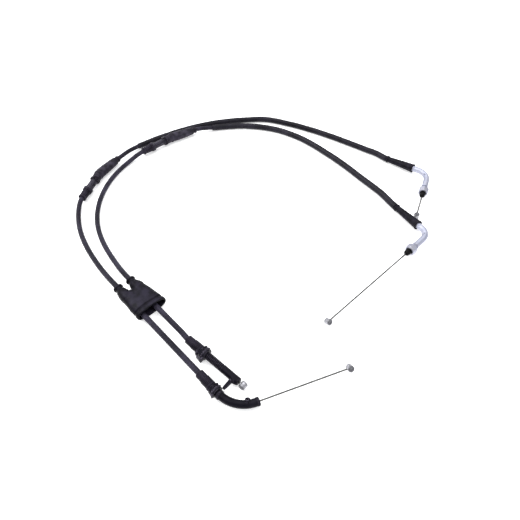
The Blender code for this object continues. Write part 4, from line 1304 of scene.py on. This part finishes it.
def fork_first(co):
    """Weight that smooths strongly round the fork between the necks, and lightly on the rims and the lip."""
    z = co[:, 2]
    kept = np.clip((z - 4.0) / 3.0, 0.06, 1.0) * np.clip((38.8 - z) / 2.0, 0.06, 1.0)
    return np.clip(0.45 * kept + 0.7 * hump(z, 17.0, 4.5), 0.0, 1.0)


def cable_boot():
    """Rubber boot: two rolled necks growing out of one flat body, a lip band and a hollow oval mouth."""
    body_rows = smoothly([
        (13.0, 4.4, 14.0, 0.95), (13.9, 5.5, 16.2, 1.1), (14.3, 6.3, 18.5, 1.2), (14.8, 6.75, 25.0, 1.5),
        (15.5, 6.85, 32.0, 1.8), (15.9, 6.9, 37.0, 2.15), (16.0, 6.9, 38.8, 2.25),
    ], 0.8)
    lip = [
        (15.9, 6.75, 39.0, 2.3), (15.1, 6.0, 39.9, 2.3), (15.1, 6.0, 40.7, 2.35), (16.2, 6.95, 41.6, 2.4),
        (16.5, 7.15, 42.4, 2.45), (16.5, 7.15, 44.6, 2.5), (16.1, 6.85, BOOT_LENGTH, 2.5),
    ]
    neck = rounded([
        (AXIS_R, 0.0), (4.3, 0.0), (4.85, 0.2), (5.15, 0.8), (5.15, 1.6), (4.8, 2.3), (4.0, 2.9), (3.95, 3.6),
        (4.4, 5.4), (5.3, 8.0), (5.95, 11.0), (6.4, 14.0), (6.45, 16.8), (6.1, 19.4), (5.5, 21.0), (AXIS_R, 21.0),
    ], 0.4, closed=False)
    hollow_rows = smoothly([
        (10.6, 3.5, 17.0, 0.3), (12.5, 4.6, 23.0, 1.0), (13.7, 5.0, 33.0, 1.8), (14.2, 5.05, 42.0, 2.4),
        (14.8, 5.5, BOOT_LENGTH + 1.2, 2.5),
    ], 1.5)
    bore = [(AXIS_R, -1.0), (3.7, -1.0), (SLIP_R, 0.5), (3.0, 1.2), (3.0, 20.0), (AXIS_R, 20.0)]
    offsets = (-BOOT_PITCH / 2, BOOT_PITCH / 2)
    body = scratch("boot_body", oval_loft([*body_rows, *lip]))
    necks = [scratch("boot_neck", upright(neck, offset, max(0.0, offset))) for offset in offsets]
    mesh = applied(body, necks, "UNION")
    relaxed(mesh, 22, fork_first)
    soft_melt(mesh)
    shell = scratch("boot_shell", mesh)
    hollow = scratch("boot_hollow", oval_loft(hollow_rows))
    bores = [scratch("boot_bore", upright(bore, offset)) for offset in offsets]
    mesh = applied(shell, [hollow, *bores], "DIFFERENCE")
    relaxed(mesh, 4, lambda co: np.full(len(co), 0.6))
    home = axis_frame(RIMS, RUN)
    mesh.transform(home)
    finished("cable_boot_rubber", [mesh], home, BOOT_RUBBER, "cable_boot", "boot", sharp=70.0)


# ---- bench and light

BENCH_HALF = 6.0
BENCH_GLOW = 0.45
LIGHTS = {  # place and diameter in metres, power in watts
    "overhead": ((-0.25, 0.3, 1.2), 2.4, 26.0),
    "key": ((-0.95, 0.15, 1.0), 0.4, 6.5),
    "fill": ((0.8, -0.9, 0.9), 0.8, 3.0),
}
SKY_COLOUR = (0.955, 0.965, 1.0, 1.0)
SKY_FALL = {"From Min": -0.1, "From Max": 0.75, "To Min": 0.36, "To Max": 0.60}


def stage():
    """White paper bench, faintly lit from inside so that it stays white."""
    mesh = bpy.data.meshes.new("bench")
    corners = [(x * BENCH_HALF, y * BENCH_HALF, 0) for x, y in ((-1, -1), (1, -1), (1, 1), (-1, 1))]
    mesh.from_pydata(corners, [], [(0, 1, 2, 3)])
    g = Graph("bench_paper")
    cloud, fibre = g.noise(300.0, 3.0), g.noise(1.2, 4.0)
    g.bumped((fibre, 0.01))
    g.feed(g.shader, "Emission Color", (1.0, 1.0, 1.0, 1.0))
    g.feed(g.shader, "Emission Strength", BENCH_GLOW)
    colour = g.mixed(g.span(cloud, 0.3, 0.7), (0.90, 0.90, 0.90), (0.93, 0.93, 0.93))
    mesh.materials.append(g.finish(colour, 0.85, specular=0.2))
    linked("bench", mesh)


def lights():
    """Disk lights that all face the middle of the bench."""
    scene = bpy.context.scene
    scene.view_settings.view_transform = "Standard"
    scene.view_settings.look = "None"
    scene.world = studio_world()
    for name, (place, size, energy) in LIGHTS.items():
        data = bpy.data.lights.new(name, "AREA")
        data.shape = "DISK"
        data.size = size
        data.energy = energy
        obj = linked(name, data)
        obj.location = place
        obj.rotation_euler = (-Vector(place)).to_track_quat("-Z", "Y").to_euler()


def studio_world():
    """Bright ceiling that falls off towards dimmer walls, so that metal shows its form."""
    world = bpy.data.worlds.new("studio")
    world.use_nodes = True
    nodes, links = world.node_tree.nodes, world.node_tree.links
    height = nodes.new("ShaderNodeSeparateXYZ")
    links.new(nodes.new("ShaderNodeTexCoord").outputs["Generated"], height.inputs[0])
    fall = nodes.new("ShaderNodeMapRange")
    fall.interpolation_type = "SMOOTHSTEP"
    for key, value in SKY_FALL.items():
        fall.inputs[key].default_value = value
    links.new(height.outputs["Z"], fall.inputs["Value"])
    background = nodes["Background"]
    background.inputs["Color"].default_value = SKY_COLOUR
    links.new(fall.outputs[0], background.inputs["Strength"])
    return world


cable_boot()
stage()
lights()
